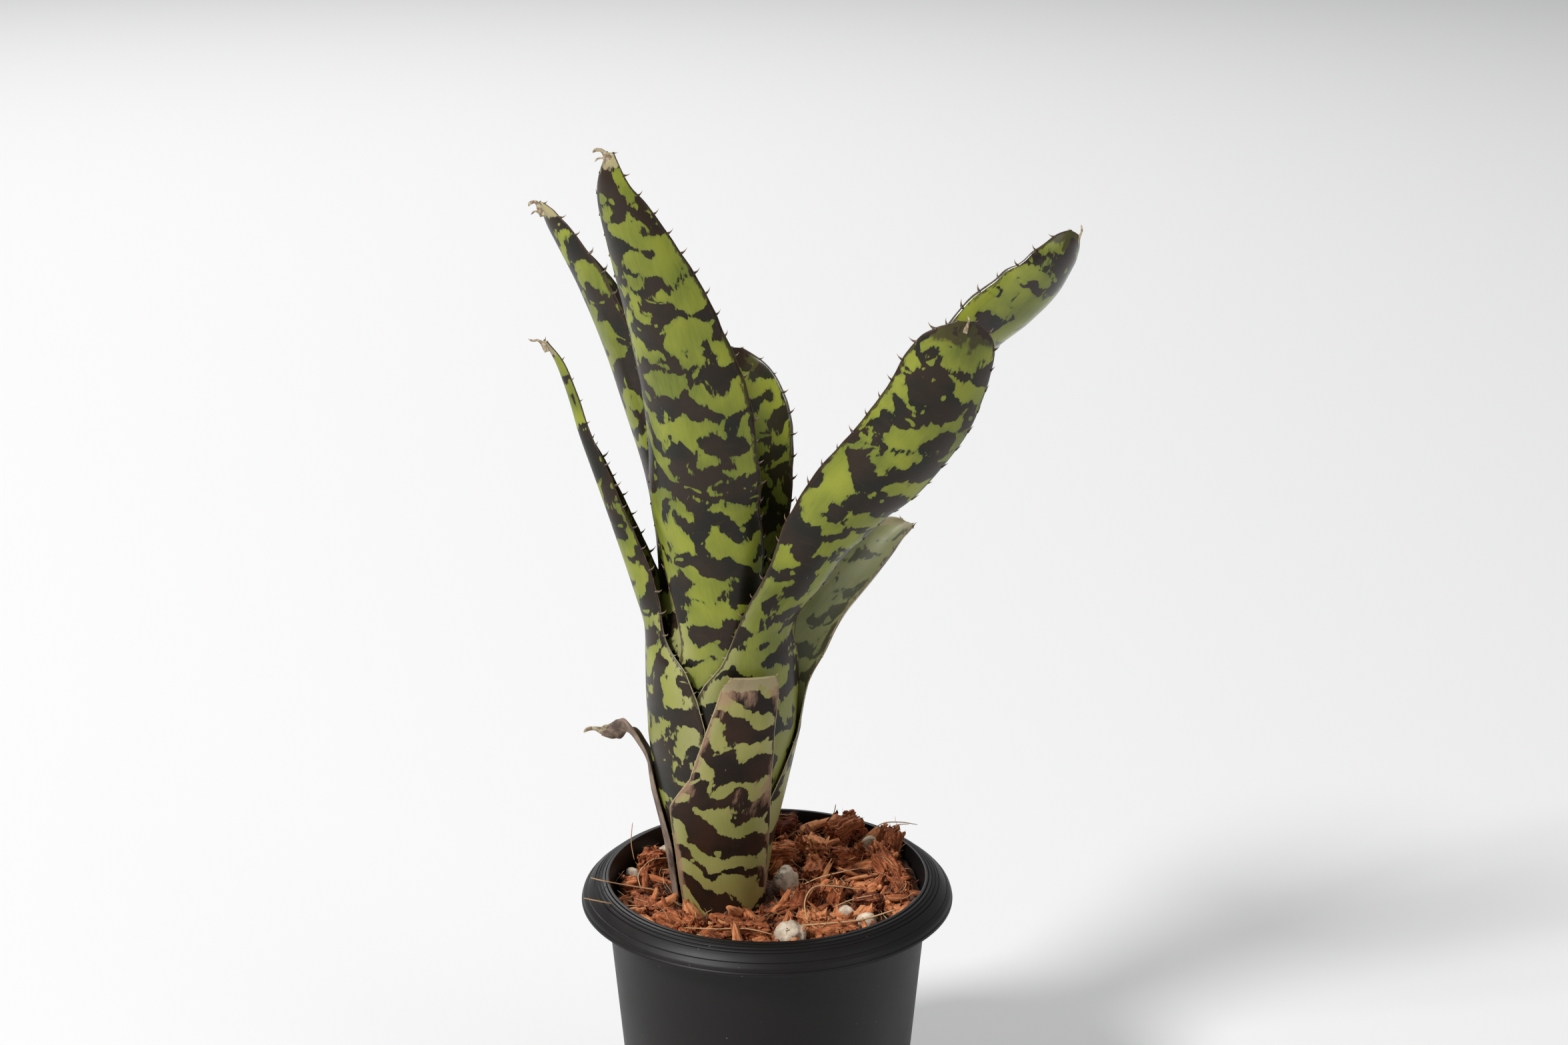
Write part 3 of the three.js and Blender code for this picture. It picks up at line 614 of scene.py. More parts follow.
# %% Making the nine leaves
GREENS = {
    "leaf_right_back": dict(seed=2.3, ground=((0.330, 0.330, 0.130), (0.210, 0.220, 0.070)),
                            inside=0.20, cover=0.34, slant=1.6, rough=0.42),
    "leaf_left": dict(seed=3.1, cover=0.55),
    "leaf_front_right": dict(seed=4.6, cover=0.53, slant=-1.5, tip=BROWN_TIP,
                             tip_length=8.0),
    "leaf_back": dict(seed=5.4, cover=0.50, tip=BROWN_TIP, tip_length=6.0, rough=0.27,
                      gloss=0.45),
    "leaf_front_left": dict(seed=6.2, cover=0.48, slant=0.8),
    "leaf_right": dict(seed=7.7, cover=0.50, slant=-2.0, tip=BROWN_TIP, tip_length=5.0,
                       rough=0.24, gloss=0.60),
    "leaf_left_back": dict(seed=8.9, cover=0.50, slant=-1.0),
    "leaf_front_old": dict(seed=1.4, ground=((0.350, 0.310, 0.100), (0.200, 0.205, 0.042)),
                           patch=((0.030, 0.013, 0.007), (0.014, 0.008, 0.005)), cover=0.49,
                           slant=1.9, banding=0.150, browning=0.80, rough=0.46, gloss=0.0),
}
leaf_rims = {}
for number, (name, leaf) in enumerate(LEAVES.items()):
    obj, leaf_rims[name] = leaf_mesh("skin_" + name, leaf, number + 1)
    if name == "leaf_dried":
        obj.data.materials.append(dry_leaf_material("dry_leaf", 1.0))
    else:
        obj.data.materials.append(leaf_material(name + "_finish", **GREENS[name]))
    finish_piece(obj, [name])

# %% [markdown]
# ## Growing small things with Geometry Nodes
# Spines, husk crumbs and fibres repeat hundreds of times, so each kind is grown by a node tree
# with named inputs. This class builds such a tree in a few lines, runs it on an object, and
# keeps the result as a plain mesh.

# %% A helper for Geometry Nodes
class Growth:
    def __init__(self, name, inputs):
        self.tree = bpy.data.node_groups.new(name, "GeometryNodeTree")
        face = self.tree.interface
        face.new_socket("Geometry", in_out="INPUT", socket_type="NodeSocketGeometry")
        for label, kind in inputs.items():
            face.new_socket(label, in_out="INPUT", socket_type="NodeSocket" + kind)
        face.new_socket("Geometry", in_out="OUTPUT", socket_type="NodeSocketGeometry")
        self.start = self.tree.nodes.new("NodeGroupInput")
        self.end = self.tree.nodes.new("NodeGroupOutput")

    def given(self, label):
        return self.start.outputs[label]

    def add(self, kind, props=(), **inputs):
        node = self.tree.nodes.new(kind)
        for key, value in dict(props).items():
            setattr(node, key, value)
        for key, value in inputs.items():
            self.plug(node.inputs[key.replace("_", " ")], value)
        return node

    def plug(self, socket, value):
        if isinstance(value, bpy.types.NodeSocket):
            self.tree.links.new(value, socket)
        else:
            socket.default_value = value

    def named(self, name, kind="FLOAT"):
        node = self.add("GeometryNodeInputNamedAttribute", {"data_type": kind}, Name=name)
        return node.outputs[0]

    def random(self, low, high, seed, kind="FLOAT"):
        node = self.add("FunctionNodeRandomValue", {"data_type": kind})
        places = {"FLOAT": (2, 3, 1), "FLOAT_VECTOR": (0, 1, 0)}[kind]
        self.plug(node.inputs[places[0]], low)
        self.plug(node.inputs[places[1]], high)
        self.plug(node.inputs["Seed"], seed)
        return node.outputs[places[2]]

    def math(self, operation, a, b):
        node = self.add("ShaderNodeMath", {"operation": operation})
        self.plug(node.inputs[0], a)
        self.plug(node.inputs[1], b)
        return node.outputs[0]

    def finish(self, geometry, material):
        """Realises the instances, smooths them and sets their material."""
        real = self.add("GeometryNodeRealizeInstances", Geometry=geometry).outputs[0]
        soft = self.add("GeometryNodeSetShadeSmooth", Geometry=real).outputs[0]
        done = self.add("GeometryNodeSetMaterial", Geometry=soft, Material=material)
        self.plug(self.end.inputs[0], done.outputs[0])

    def grow(self, obj, **values):
        modifier = obj.modifiers.new(self.tree.name, "NODES")
        modifier.node_group = self.tree
        for item in self.tree.interface.items_tree:
            key = item.name.replace(" ", "_")
            if item.in_out == "INPUT" and key in values:
                modifier[item.identifier] = values[key]
        return apply_modifiers(obj)


# %% [markdown]
# ### Spines and the horny margin
# The margins carry hooked spines that lean towards the tip, about seven millimetres apart on
# the blades and smaller and closer on the sheaths. They could be placed by hand, but a line
# along each margin that knows which way is out and which way is ahead lets one tree do it:
# resample the line by the spacing, stand a small curved cone at each point, and scale it by
# the leaf's own size there. A thin cord along the same line makes the horny edge.

# %% The spine tree
spine_tree = Growth("spines", {"Spacing": "Float", "Length": "Float", "Seed": "Int",
                               "Cord": "Float", "Material": "Material"})
line = spine_tree.add("GeometryNodeMeshToCurve", Mesh=spine_tree.given("Geometry")).outputs[0]
stops = spine_tree.add("GeometryNodeResampleCurve", {"mode": "LENGTH"}, Curve=line,
                       Length=spine_tree.given("Spacing")).outputs[0]
turn = spine_tree.add("FunctionNodeAxesToRotation", {"primary_axis": "Z", "secondary_axis": "X"},
                      Primary_Axis=spine_tree.named("outward", "FLOAT_VECTOR"),
                      Secondary_Axis=spine_tree.named("ahead", "FLOAT_VECTOR")).outputs[0]
tilt = spine_tree.random((-0.25, -0.25, -0.2), (0.25, 0.25, 0.2), spine_tree.given("Seed"),
                         "FLOAT_VECTOR")
tilt = spine_tree.add("FunctionNodeEulerToRotation", Euler=tilt).outputs[0]
turn = spine_tree.add("FunctionNodeRotateRotation", {"rotation_space": "LOCAL"}, Rotation=turn,
                      Rotate_By=tilt).outputs[0]
size = spine_tree.math("MULTIPLY", spine_tree.random(0.7, 1.2, spine_tree.given("Seed")),
                       spine_tree.named("reach"))
size = spine_tree.math("MULTIPLY", size, spine_tree.given("Length"))
thorn = spine_tree.add("GeometryNodeCurveQuadraticBezier", Resolution=5, Start=(0, 0, -0.15),
                       Middle=(-0.02, 0, 0.60), End=(0.50, 0, 1.0)).outputs[0]
factor = spine_tree.add("GeometryNodeSplineParameter").outputs["Factor"]
thorn = spine_tree.add("GeometryNodeStoreNamedAttribute",
                       {"data_type": "FLOAT", "domain": "POINT"}, Geometry=thorn, Name="along",
                       Value=factor).outputs[0]
taper = spine_tree.math("ADD", 0.04, spine_tree.math("POWER", spine_tree.math(
    "SUBTRACT", 1.0, factor), 1.3))
ring = spine_tree.add("GeometryNodeCurvePrimitiveCircle", Resolution=5, Radius=0.25).outputs[0]
thorn = spine_tree.add("GeometryNodeCurveToMesh", Curve=thorn, Profile_Curve=ring, Scale=taper,
                       Fill_Caps=True).outputs[0]
spines = spine_tree.add("GeometryNodeInstanceOnPoints", Points=stops, Instance=thorn,
                        Rotation=turn, Scale=size).outputs[0]
bead = spine_tree.add("GeometryNodeCurvePrimitiveCircle", Resolution=6,
                      Radius=spine_tree.given("Cord")).outputs[0]
cord = spine_tree.add("GeometryNodeCurveToMesh", Curve=line, Profile_Curve=bead,
                      Fill_Caps=True).outputs[0]
both = spine_tree.add("GeometryNodeJoinGeometry")
for piece in (spines, cord):
    spine_tree.tree.links.new(piece, both.inputs[0])
spine_tree.finish(both.outputs[0], spine_tree.given("Material"))
print("nodes in the spine tree:", len(spine_tree.tree.nodes))


# %% Horn material and the margins
def horn_material(name, base, tip):
    sh = Shader(name)
    place = sh.add("ShaderNodeTexCoord").outputs["Object"]
    along = sh.attribute("along")
    mottle = sh.noise(place, 420.0, 3.0)
    colour = sh.mix(sh.step(along, 0.25, 0.85), (*base, 1), (*tip, 1))
    # On the sheaths the edge dries to a pale line.
    colour = sh.mix(sh.math("MULTIPLY", sh.attribute("sheath"), 0.85), colour,
                    (0.36, 0.33, 0.17, 1))
    colour = sh.mix(sh.math("MULTIPLY", sh.step(mottle, 0.45, 0.60), 0.45), colour,
                    (base[0] * 2.4 + 0.03, base[1] * 2.4 + 0.025, base[2] * 2 + 0.01, 1))
    normal = sh.bump(sh.noise(place, 1500.0, 2.0), 0.3, 0.0001)
    return sh.out(Base_Color=colour, Roughness=0.42, Normal=normal)


def margin_piece(leaf_name, rims, spacing, length, seed, start):
    """Lines along both margins of a leaf, grown into a cord with spines."""
    points, edges, outward, ahead, reach, sheath = [], [], [], [], [], []
    for rim in rims:
        rim = [stop for stop in rim if stop[0].z > MIX_Z + start * MM]
        for k, (p, out_way, tangent, width, free, _) in enumerate(rim):
            if k:
                edges.append((len(points) - 1, len(points)))
            points.append(tuple(p))
            outward += list(out_way)
            ahead += list(tangent)
            reach.append((0.50 + 0.50 * free) * min(1.0, 0.45 + width / 14))
            sheath.append(1.0 - free)
    mesh = bpy.data.meshes.new(leaf_name + "_margin")
    mesh.from_pydata(points, edges, [])
    for key, kind, values in (("outward", "FLOAT_VECTOR", outward),
                              ("ahead", "FLOAT_VECTOR", ahead), ("reach", "FLOAT", reach),
                              ("sheath", "FLOAT", sheath)):
        layer = mesh.attributes.new(key, kind, "POINT")
        layer.data.foreach_set("vector" if "VECTOR" in kind else "value", values)
    obj = bpy.data.objects.new(leaf_name + "_margin", mesh)
    bpy.context.scene.collection.objects.link(obj)
    dark_horn = leaf_name not in ("leaf_front_old", "leaf_right_back", "leaf_dried")
    material = horn_dark if dark_horn else horn_pale
    return spine_tree.grow(obj, Spacing=spacing * MM, Length=length * MM, Seed=seed,
                           Cord=0.21 * MM, Material=material)


horn_dark = horn_material("horn_dark", (0.035, 0.018, 0.010), (0.30, 0.19, 0.10))
horn_pale = horn_material("horn_pale", (0.210, 0.150, 0.085), (0.42, 0.33, 0.21))
for number, name in enumerate(LEAVES):
    if name == "leaf_dried":
        continue
    spacing, length = (3.6, 1.1) if name == "leaf_front_old" else (7.0, 2.1)
    piece = margin_piece(name, leaf_rims[name], spacing, length, 40 + number, 6)
    finish_piece(piece)

# %% [markdown]
# ## The nursery pot
# A thin moulded pot with a rolled rim: four fine rings are cut near the mouth and one near the
# outer edge, and then a band with a thin step slopes down and turns under. It is a body of
# revolution, so a profile spun round the axis gives it exactly, and the drain holes are cut
# from its floor afterwards.

# %% The pot's profile and its spin
POT_H = pot_high.z / MM
RIM = RIM_R / MM
MOUTH_R, FOOT_R, WALL, FLOOR_T = 0.85 * RIM, 0.72 * RIM, 1.6, 2.5
INNER_FOOT = FOOT_R - WALL


def inner_radius(z):
    return INNER_FOOT + (z - FLOOR_T) / (POT_H - FLOOR_T) * (MOUTH_R - INNER_FOOT)


rim_steps = [(MOUTH_R, -0.35), (MOUTH_R + 0.12, -0.08), (MOUTH_R + 0.4, 0.0)]
# r, z and depth of each ring cut into the sloping face.
for r, z, deep in ((52.0, -0.12, 0.9), (53.1, -0.55, 0.55), (54.2, -1.10, 0.55),
                   (55.3, -1.75, 0.65), (57.9, -3.85, 0.40)):
    rim_steps += [(r, z), (r + 0.06, z - 0.14), (r + 0.12, z - deep), (r + 0.30, z - deep - 0.06),
                  (r + 0.38, z - 0.32)]
band = [(59.0, -4.95), (59.25, -5.25), (59.5, -5.75), (59.75, -6.55), (59.62, -6.68),
        (59.85, -6.86), (60.0, -7.55), (59.95, -7.86), (59.6, -8.0), (58.9, -8.0),
        (58.2, -7.7), (57.5, -6.8), (56.7, -5.7), (55.4, -4.8), (54.0, -4.7),
        (52.9, -5.2), (inner_radius(POT_H - 6.4) + WALL, -6.4)]
outside = [(r, POT_H + z) for r, z in rim_steps + band]
wall = [(inner_radius(z) + WALL, z) for z in np.linspace(POT_H - 10, 3.0, 12)]
foot = [(FOOT_R, 1.2), (FOOT_R - 0.25, 0.45), (FOOT_R - 0.9, 0.0), (FOOT_R - 2.6, 0.0),
        (FOOT_R - 3.4, 0.5), (24.0, 0.5), (0.0, 0.5)]
inside = [(0.0, FLOOR_T), (24.0, FLOOR_T), (INNER_FOOT - 1.0, FLOOR_T),
          (INNER_FOOT, FLOOR_T + 1.0)]
inside += [(inner_radius(z), z) for z in np.linspace(12.0, POT_H - 1.2, 12)]
profile = outside + wall + foot + inside
print("points in the pot's profile:", len(profile))


def spun(name, profile, segments):
    """A closed body of revolution from a closed loop of radius and height in millimetres."""
    points, rings = [], []
    for r, z in profile:
        if r == 0.0:
            rings.append([len(points)] * segments)
            points.append((0, 0, z * MM))
            continue
        rings.append(list(range(len(points), len(points) + segments)))
        for k in range(segments):
            a = 2 * math.pi * k / segments
            points.append((r * math.cos(a) * MM, r * math.sin(a) * MM, z * MM))
    faces = []
    for low, high in zip(rings, rings[1:] + rings[:1]):
        for k in range(segments):
            n = (k + 1) % segments
            corners = []
            for v in (low[k], high[k], high[n], low[n]):
                if v not in corners:
                    corners.append(v)
            if len(corners) > 2:
                faces.append(corners)
    obj = mesh_object(name, points, faces)
    bm = bmesh.new()
    bm.from_mesh(obj.data)
    bmesh.ops.recalc_face_normals(bm, faces=bm.faces)
    bm.to_mesh(obj.data)
    bm.free()
    return obj


pot = spun("pot_shell", profile, 160)

# %% Drain holes
HOLES, HOLE_R, HOLE_RING_R, DRILL_LENGTH = 8, 3.5 * MM, 33 * MM, 12 * MM
drills = bpy.data.meshes.new("drills")
bm = bmesh.new()
for k in range(HOLES):
    a = 2 * math.pi * (k + 0.5) / HOLES
    place = Matrix.Translation((HOLE_RING_R * math.cos(a), HOLE_RING_R * math.sin(a), 0))
    bmesh.ops.create_cone(bm, cap_ends=True, segments=32, radius1=HOLE_R, radius2=HOLE_R,
                          depth=DRILL_LENGTH, matrix=place)
bm.to_mesh(drills)
bm.free()
drill_object = bpy.data.objects.new("drills", drills)
bpy.context.scene.collection.objects.link(drill_object)
cutter = pot.modifiers.new("holes", "BOOLEAN")
cutter.object = drill_object
cutter.solver = "EXACT"
pot = apply_modifiers(pot)
bpy.data.objects.remove(drill_object)
pot.data.shade_smooth()
pot.data.set_sharp_from_angle(angle=math.radians(50))
print("drain holes:", HOLES)


# %% Black plastic
def plastic_material():
    sh = Shader("black_plastic")
    place = sh.add("ShaderNodeTexCoord").outputs["Object"]
    parts = sh.add("ShaderNodeSeparateXYZ")
    sh.plug(parts.inputs[0], place)
    x, y, z = parts.outputs
    radius = sh.math("SQRT", sh.math("ADD", sh.math("MULTIPLY", x, x), sh.math("MULTIPLY", y, y)))
    # Fine turning marks follow the circles of the pot.
    circles = sh.noise(sh.combine(radius, 0.0, z), 2600.0, 2.0, 0.6)
    cloud = sh.noise(place, 38.0, 4.0, 0.6)
    grain = sh.noise(place, 2300.0, 2.0, 0.6)
    dust = sh.step(sh.voronoi(place, 260.0), 0.085, 0.045)
    patchy = sh.step(sh.noise(place, 60.0, 2.0), 0.52, 0.60)
    film = sh.math("MULTIPLY", sh.step(cloud, 0.50, 0.78), 0.02)
    pale = sh.math("ADD", film, sh.math("MULTIPLY", sh.math("MULTIPLY", dust, patchy), 0.45))
    colour = sh.mix(pale, (0.0052, 0.0040, 0.0038, 1), (0.18, 0.15, 0.12, 1))
    normal = sh.bump(circles, 0.22, 0.00012)
    normal = sh.bump(grain, 0.16, 0.00008, normal)
    rough = sh.math("ADD", 0.36, sh.math("MULTIPLY", cloud, 0.22))
    sh.out(Base_Color=colour, Roughness=rough, Normal=normal)
    sh.bsdf.inputs["Specular IOR Level"].default_value = 0.28
    return sh.material


pot.data.materials.clear()
pot.data.materials.append(plastic_material())
finish_piece(pot, ["pot"])

# %% [markdown]
# ## The potting mix
# Coir husk is chopped coconut: short curved bundles of fibre, red-brown where damp and straw
# coloured where torn. One colour on a flat disc would never do, so the mix has layers: a
# lumpy dark bed that fills the pot, the larger chips and stones of the frame in full detail,
# a crowd of smaller chips and crumbs between them, and loose fibres over everything.

# %% The surface of the bed
MOUND = 7.0
# Inside the leaf bases the bed drops away, so that the tank stays empty.
HOLLOW_R, HOLLOW_SLOPE, HOLLOW_DEPTH = 15.3, 1.3, 24.0
# Close to the wall, from this share of the radius outwards, the bed sinks a little.
EDGE_FROM, EDGE_DROP = 0.94, 2.2


def mix_height(x, y):
    rise = max(0.0, (0.55 * x + 0.83 * y + 6) / RIM)
    bumps = math.sin(0.31 * x + 1.7) * math.cos(0.27 * y - 0.4)
    return MIX_Z / MM + 1.7 * MOUND * rise * rise * (1 - 0.25 * rise) + bumps


def bed_point(x, y, edge):
    lump = noise.noise(Vector((x * 0.16, y * 0.16, 3.1)))
    crumb = noise.noise(Vector((x * 0.55, y * 0.55, 8.4)))
    grit = noise.noise(Vector((x * 1.5, y * 1.5, 5.7)))
    z = mix_height(x, y) + 1.2 * lump + 1.1 * crumb + 0.55 * grit - 0.9
    away = math.hypot(x - PLANT.x / MM, y - PLANT.y / MM)
    inside = min(1.0, max(0.0, (HOLLOW_R - away) / HOLLOW_SLOPE))
    z -= HOLLOW_DEPTH * inside
    return z - EDGE_DROP * max(0.0, (edge - EDGE_FROM) / 0.06) ** 2


def bed_mesh():
    rings, segments = 72, 210
    wall = inner_radius(MIX_Z / MM) - 0.3
    points, faces = [(0, 0, bed_point(0, 0, 0) * MM)], []
    for i in range(1, rings + 1):
        r = wall * (i / rings) ** 0.9
        for k in range(segments):
            a = 2 * math.pi * k / segments
            x, y = r * math.cos(a), r * math.sin(a)
            points.append((x * MM, y * MM, bed_point(x, y, r / wall) * MM))
    for k in range(segments):
        n = (k + 1) % segments
        faces.append((0, 1 + k, 1 + n))
        for i in range(rings - 1):
            a, b = 1 + i * segments, 1 + (i + 1) * segments
            faces.append((a + k, b + k, b + n, a + n))
    last = 1 + (rings - 1) * segments
    low = len(points)
    for k in range(segments):
        a = 2 * math.pi * k / segments
        r = INNER_FOOT - 0.3
        points.append((r * math.cos(a) * MM, r * math.sin(a) * MM, (FLOOR_T + 0.3) * MM))
    points.append((0, 0, (FLOOR_T + 0.3) * MM))
    for k in range(segments):
        n = (k + 1) % segments
        faces.append((last + k, low + k, low + n, last + n))
        faces.append((low + k, len(points) - 1, low + n))
    return mesh_object("mix_bed", points, faces)


bed = bed_mesh()
print("bed vertices", len(bed.data.vertices))


# %% Husk materials
def husk_material(name, light, middle, dark, seed):
    """Torn coconut husk. The attribute grain gives a chip's own axes, in millimetres."""
    sh = Shader(name)
    grain = sh.vector("ADD", sh.attribute("grain", "Vector"), (seed * 9.1, seed * 4.3, seed))
    tint = sh.attribute("tint")
    fibres = sh.noise(sh.scaled(grain, (0.16, 2.6, 2.6)), 1.0, 4.0, 0.65)
    torn = sh.noise(sh.scaled(grain, (0.35, 0.9, 0.9), (3, 1, 4)), 1.0, 3.0, 0.6)
    shade = sh.math("ADD", sh.math("MULTIPLY", fibres, 0.60), sh.math("MULTIPLY", torn, 0.40))
    shade = sh.math("ADD", shade, sh.math("MULTIPLY", sh.math("SUBTRACT", tint, 0.5), 0.22))
    colour = sh.mix(sh.step(shade, 0.34, 0.50), (*dark, 1), (*middle, 1))
    colour = sh.mix(sh.step(shade, 0.50, 0.66), colour, (*light, 1))
    pith = sh.noise(sh.scaled(grain, (1.1, 1.1, 1.1), (8, 8, 8)), 1.0, 5.0, 0.7)
    colour = sh.mix(sh.math("MULTIPLY", sh.step(pith, 0.56, 0.66), 0.5), colour, (*dark, 1))
    normal = sh.bump(fibres, 0.9, 0.0006)
    normal = sh.bump(pith, 0.5, 0.0004, normal)
    sh.out(Base_Color=colour, Roughness=0.86, Normal=normal)
    sh.bsdf.inputs["Specular IOR Level"].default_value = 0.2
    return sh.material


def bed_material():
    sh = Shader("damp_mix")
    place = sh.add("ShaderNodeTexCoord").outputs["Object"]
    clod = sh.noise(place, 260.0, 5.0, 0.65)
    grit = sh.noise(place, 900.0, 4.0, 0.7)
    colour = sh.mix(sh.step(clod, 0.40, 0.60), (0.016, 0.006, 0.003, 1),
                    (0.115, 0.042, 0.019, 1))
    colour = sh.mix(sh.step(grit, 0.52, 0.70), colour, (0.22, 0.085, 0.038, 1))
    normal = sh.bump(grit, 0.9, 0.0008)
    return sh.out(Base_Color=colour, Roughness=0.92, Normal=normal)


husk_light = husk_material("husk_light", (0.74, 0.330, 0.140), (0.450, 0.135, 0.050),
                           (0.095, 0.022, 0.008), 1)
husk_dark = husk_material("husk_dark", (0.400, 0.130, 0.050), (0.190, 0.046, 0.017),
                          (0.040, 0.009, 0.004), 2)
bed.data.materials.append(bed_material())
print("husk finishes:", husk_light.name, husk_dark.name)


# %% [markdown]
# ### Chips and stones
# The frame's chips are plain blocks that say where each lies. Each is copied, turned into an
# even skin of small faces, and then carved: grooves along its longest axis, torn ends, and
# soft lumps. The chip's own axes are kept as an attribute, so the finish runs along the
# fibres. The stones are treated the same way, with pits instead of grooves.

# %% Carving the chips
# The size of one face of the carved skins, in millimetres.
CHIP_CELL, STONE_CELL = 0.42, 0.36


def own_axes(mesh):
    points = np.array([v.co[:] for v in mesh.vertices])
    middle = points.mean(axis=0)
    values, vectors = np.linalg.eigh(np.cov((points - middle).T))
    order = np.argsort(values)[::-1]
    axes = vectors[:, order].T
    if np.linalg.det(axes) < 0:
        axes[2] *= -1
    return Vector(middle), [Vector(a) for a in axes]


def fine_skin(obj, cell):
    remesh = obj.modifiers.new("skin", "REMESH")
    remesh.mode = "VOXEL"
    remesh.voxel_size = cell * MM
    remesh.use_smooth_shade = True
    obj = apply_modifiers(obj)
    bm = bmesh.new()
    bm.from_mesh(obj.data)
    for _ in range(3):
        bmesh.ops.smooth_vert(bm, verts=bm.verts, factor=0.5, use_axis_x=True, use_axis_y=True,
                              use_axis_z=True)
    bm.to_mesh(obj.data)
    bm.free()
    return obj


def local(co, middle, axes):
    d = (co - middle) / MM
    return Vector([d.dot(a) for a in axes])


def write_grain(obj, grains, tint):
    layer = obj.data.attributes.new("grain", "FLOAT_VECTOR", "POINT")
    layer.data.foreach_set("vector", [c for g in grains for c in g])
    layer = obj.data.attributes.new("tint", "FLOAT", "POINT")
    layer.data.foreach_set("value", [tint] * len(grains))


def carved_chip(node, name, seed):
    obj = merged_copy(node, name)
    middle, axes = own_axes(obj.data)
    half = max(abs(local(v.co, middle, axes).x) for v in obj.data.vertices)
    obj = fine_skin(obj, CHIP_CELL)
    shift = Vector((seed * 13.7, seed * 5.1, seed * 8.9))
    grains = []
    for v in obj.data.vertices:
        g = local(v.co, middle, axes)
        normal = v.normal.copy()
        groove = noise.noise(Vector((g.x * 0.10, g.y * 0.95, g.z * 0.95)) + shift)
        fine = noise.noise(Vector((g.x * 0.22, g.y * 2.1, g.z * 2.1)) + shift * 2)
        lump = noise.noise(g * 0.26 + shift)
        tear = noise.noise(Vector((0.0, g.y * 1.3, g.z * 1.3)) + shift * 3)
        push = 1.0 * groove + 0.5 * fine + 1.1 * lump - 0.25
        end = max(0.0, abs(g.x) / half - 0.55) / 0.45
        along = axes[0] * math.copysign(1.0, g.x) * (2.4 * tear - 0.5) * end
        v.co += (normal * push + along) * MM
        grains.append(tuple(g))
    obj.data.update()
    write_grain(obj, grains, random.Random(seed).random())
    return obj


chip_names = sorted(n for n in frame["nodes"] if n.startswith("coir_chip"))
chips = []
for k, node in enumerate(chip_names):
    chip = carved_chip(node, node.replace("coir", "husk"), k + 1)
    dark = k % 4 == 1
    chip.data.materials.append(husk_dark if dark else husk_light)
    finish_piece(chip, [node])
    chips.append(chip)


# %% Pumice stones
def pumice_material():
    sh = Shader("pumice")
    place = sh.add("ShaderNodeTexCoord").outputs["Object"]
    cloud = sh.noise(place, 240.0, 4.0, 0.6)
    pores = sh.step(sh.voronoi(place, 1150.0), 0.28, 0.10)
    stain = sh.noise(place, 520.0, 4.0, 0.7)
    colour = sh.mix(sh.step(cloud, 0.38, 0.64), (0.41, 0.32, 0.23, 1), (0.64, 0.54, 0.42, 1))
    colour = sh.mix(sh.math("MULTIPLY", sh.step(stain, 0.54, 0.68), 0.45), colour,
                    (0.34, 0.21, 0.12, 1))
    # The small pores are painted a darker copy of the stone's own colour: painted shade inside
    # the holes.
    colour = sh.mix(sh.math("MULTIPLY", pores, 0.6), colour, (0.16, 0.12, 0.09, 1))
    normal = sh.bump(pores, -0.5, 0.0003)
    normal = sh.bump(stain, 0.4, 0.0003, normal)
    return sh.out(Base_Color=colour, Roughness=0.9, Normal=normal)


def pitted_stone(node, name, seed):
    obj = fine_skin(merged_copy(node, name), STONE_CELL)
    shift = Vector((seed * 3.3, seed * 7.7, seed * 1.1))
    for v in obj.data.vertices:
        p = v.co / MM
        lump = noise.noise(p * 0.35 + shift)
        gaps, _ = noise.voronoi(p * 1.05 + shift)
        pit = max(0.0, 0.36 - gaps[0]) / 0.36
        v.co += v.normal * (1.3 * lump - 0.42 * pit * pit + 0.1) * MM
    obj.data.update()
    return obj


pumice = pumice_material()
for k, node in enumerate(sorted(n for n in frame["nodes"] if n.startswith("pumice"))):
    stone = pitted_stone(node, node.replace("pumice_", "pitted_"), k + 1)
    stone.data.materials.append(pumice)
    finish_piece(stone, [node])

# %% [markdown]
# ### Shards, crumbs and fibres
# Five small shards and six bent fibres are made once. A second tree scatters them over the
# bed: it drops points on the faces, lays a shape on each with a random spin and tilt, scales
# it, and gives it a tint. The same tree, with other inputs, lays the light and dark shards,
# the crumbs, the loose fibres and the fibres that stand on the chips.

# %% The scatter tree
scatter_tree = Growth("scatter", {"Shapes": "Collection", "Gap": "Float", "Most": "Float",
                                  "Small": "Float", "Large": "Float", "Tilt": "Float",
                                  "Lift": "Float", "Seed": "Int", "Material": "Material"})
seed_in = scatter_tree.given("Seed")
drop = scatter_tree.add("GeometryNodeDistributePointsOnFaces",
                        {"distribute_method": "POISSON"}, Mesh=scatter_tree.given("Geometry"),
                        Distance_Min=scatter_tree.given("Gap"),
                        Density_Max=scatter_tree.given("Most"),
                        Density_Factor=scatter_tree.named("open"), Seed=seed_in)
offset = scatter_tree.add("ShaderNodeVectorMath", {"operation": "SCALE"})
scatter_tree.plug(offset.inputs[0], drop.outputs["Normal"])
scatter_tree.plug(offset.inputs["Scale"], scatter_tree.given("Lift"))
lifted = scatter_tree.add("GeometryNodeSetPosition", Geometry=drop.outputs["Points"],
                          Offset=offset.outputs[0]).outputs[0]
less = scatter_tree.math("MULTIPLY", scatter_tree.given("Tilt"), -1.0)
low = scatter_tree.add("ShaderNodeCombineXYZ", X=less, Y=less, Z=0.0).outputs[0]
high = scatter_tree.add("ShaderNodeCombineXYZ", X=scatter_tree.given("Tilt"),
                        Y=scatter_tree.given("Tilt"), Z=2 * math.pi).outputs[0]
spin = scatter_tree.random(low, high, seed_in, "FLOAT_VECTOR")
spin = scatter_tree.add("FunctionNodeEulerToRotation", Euler=spin).outputs[0]
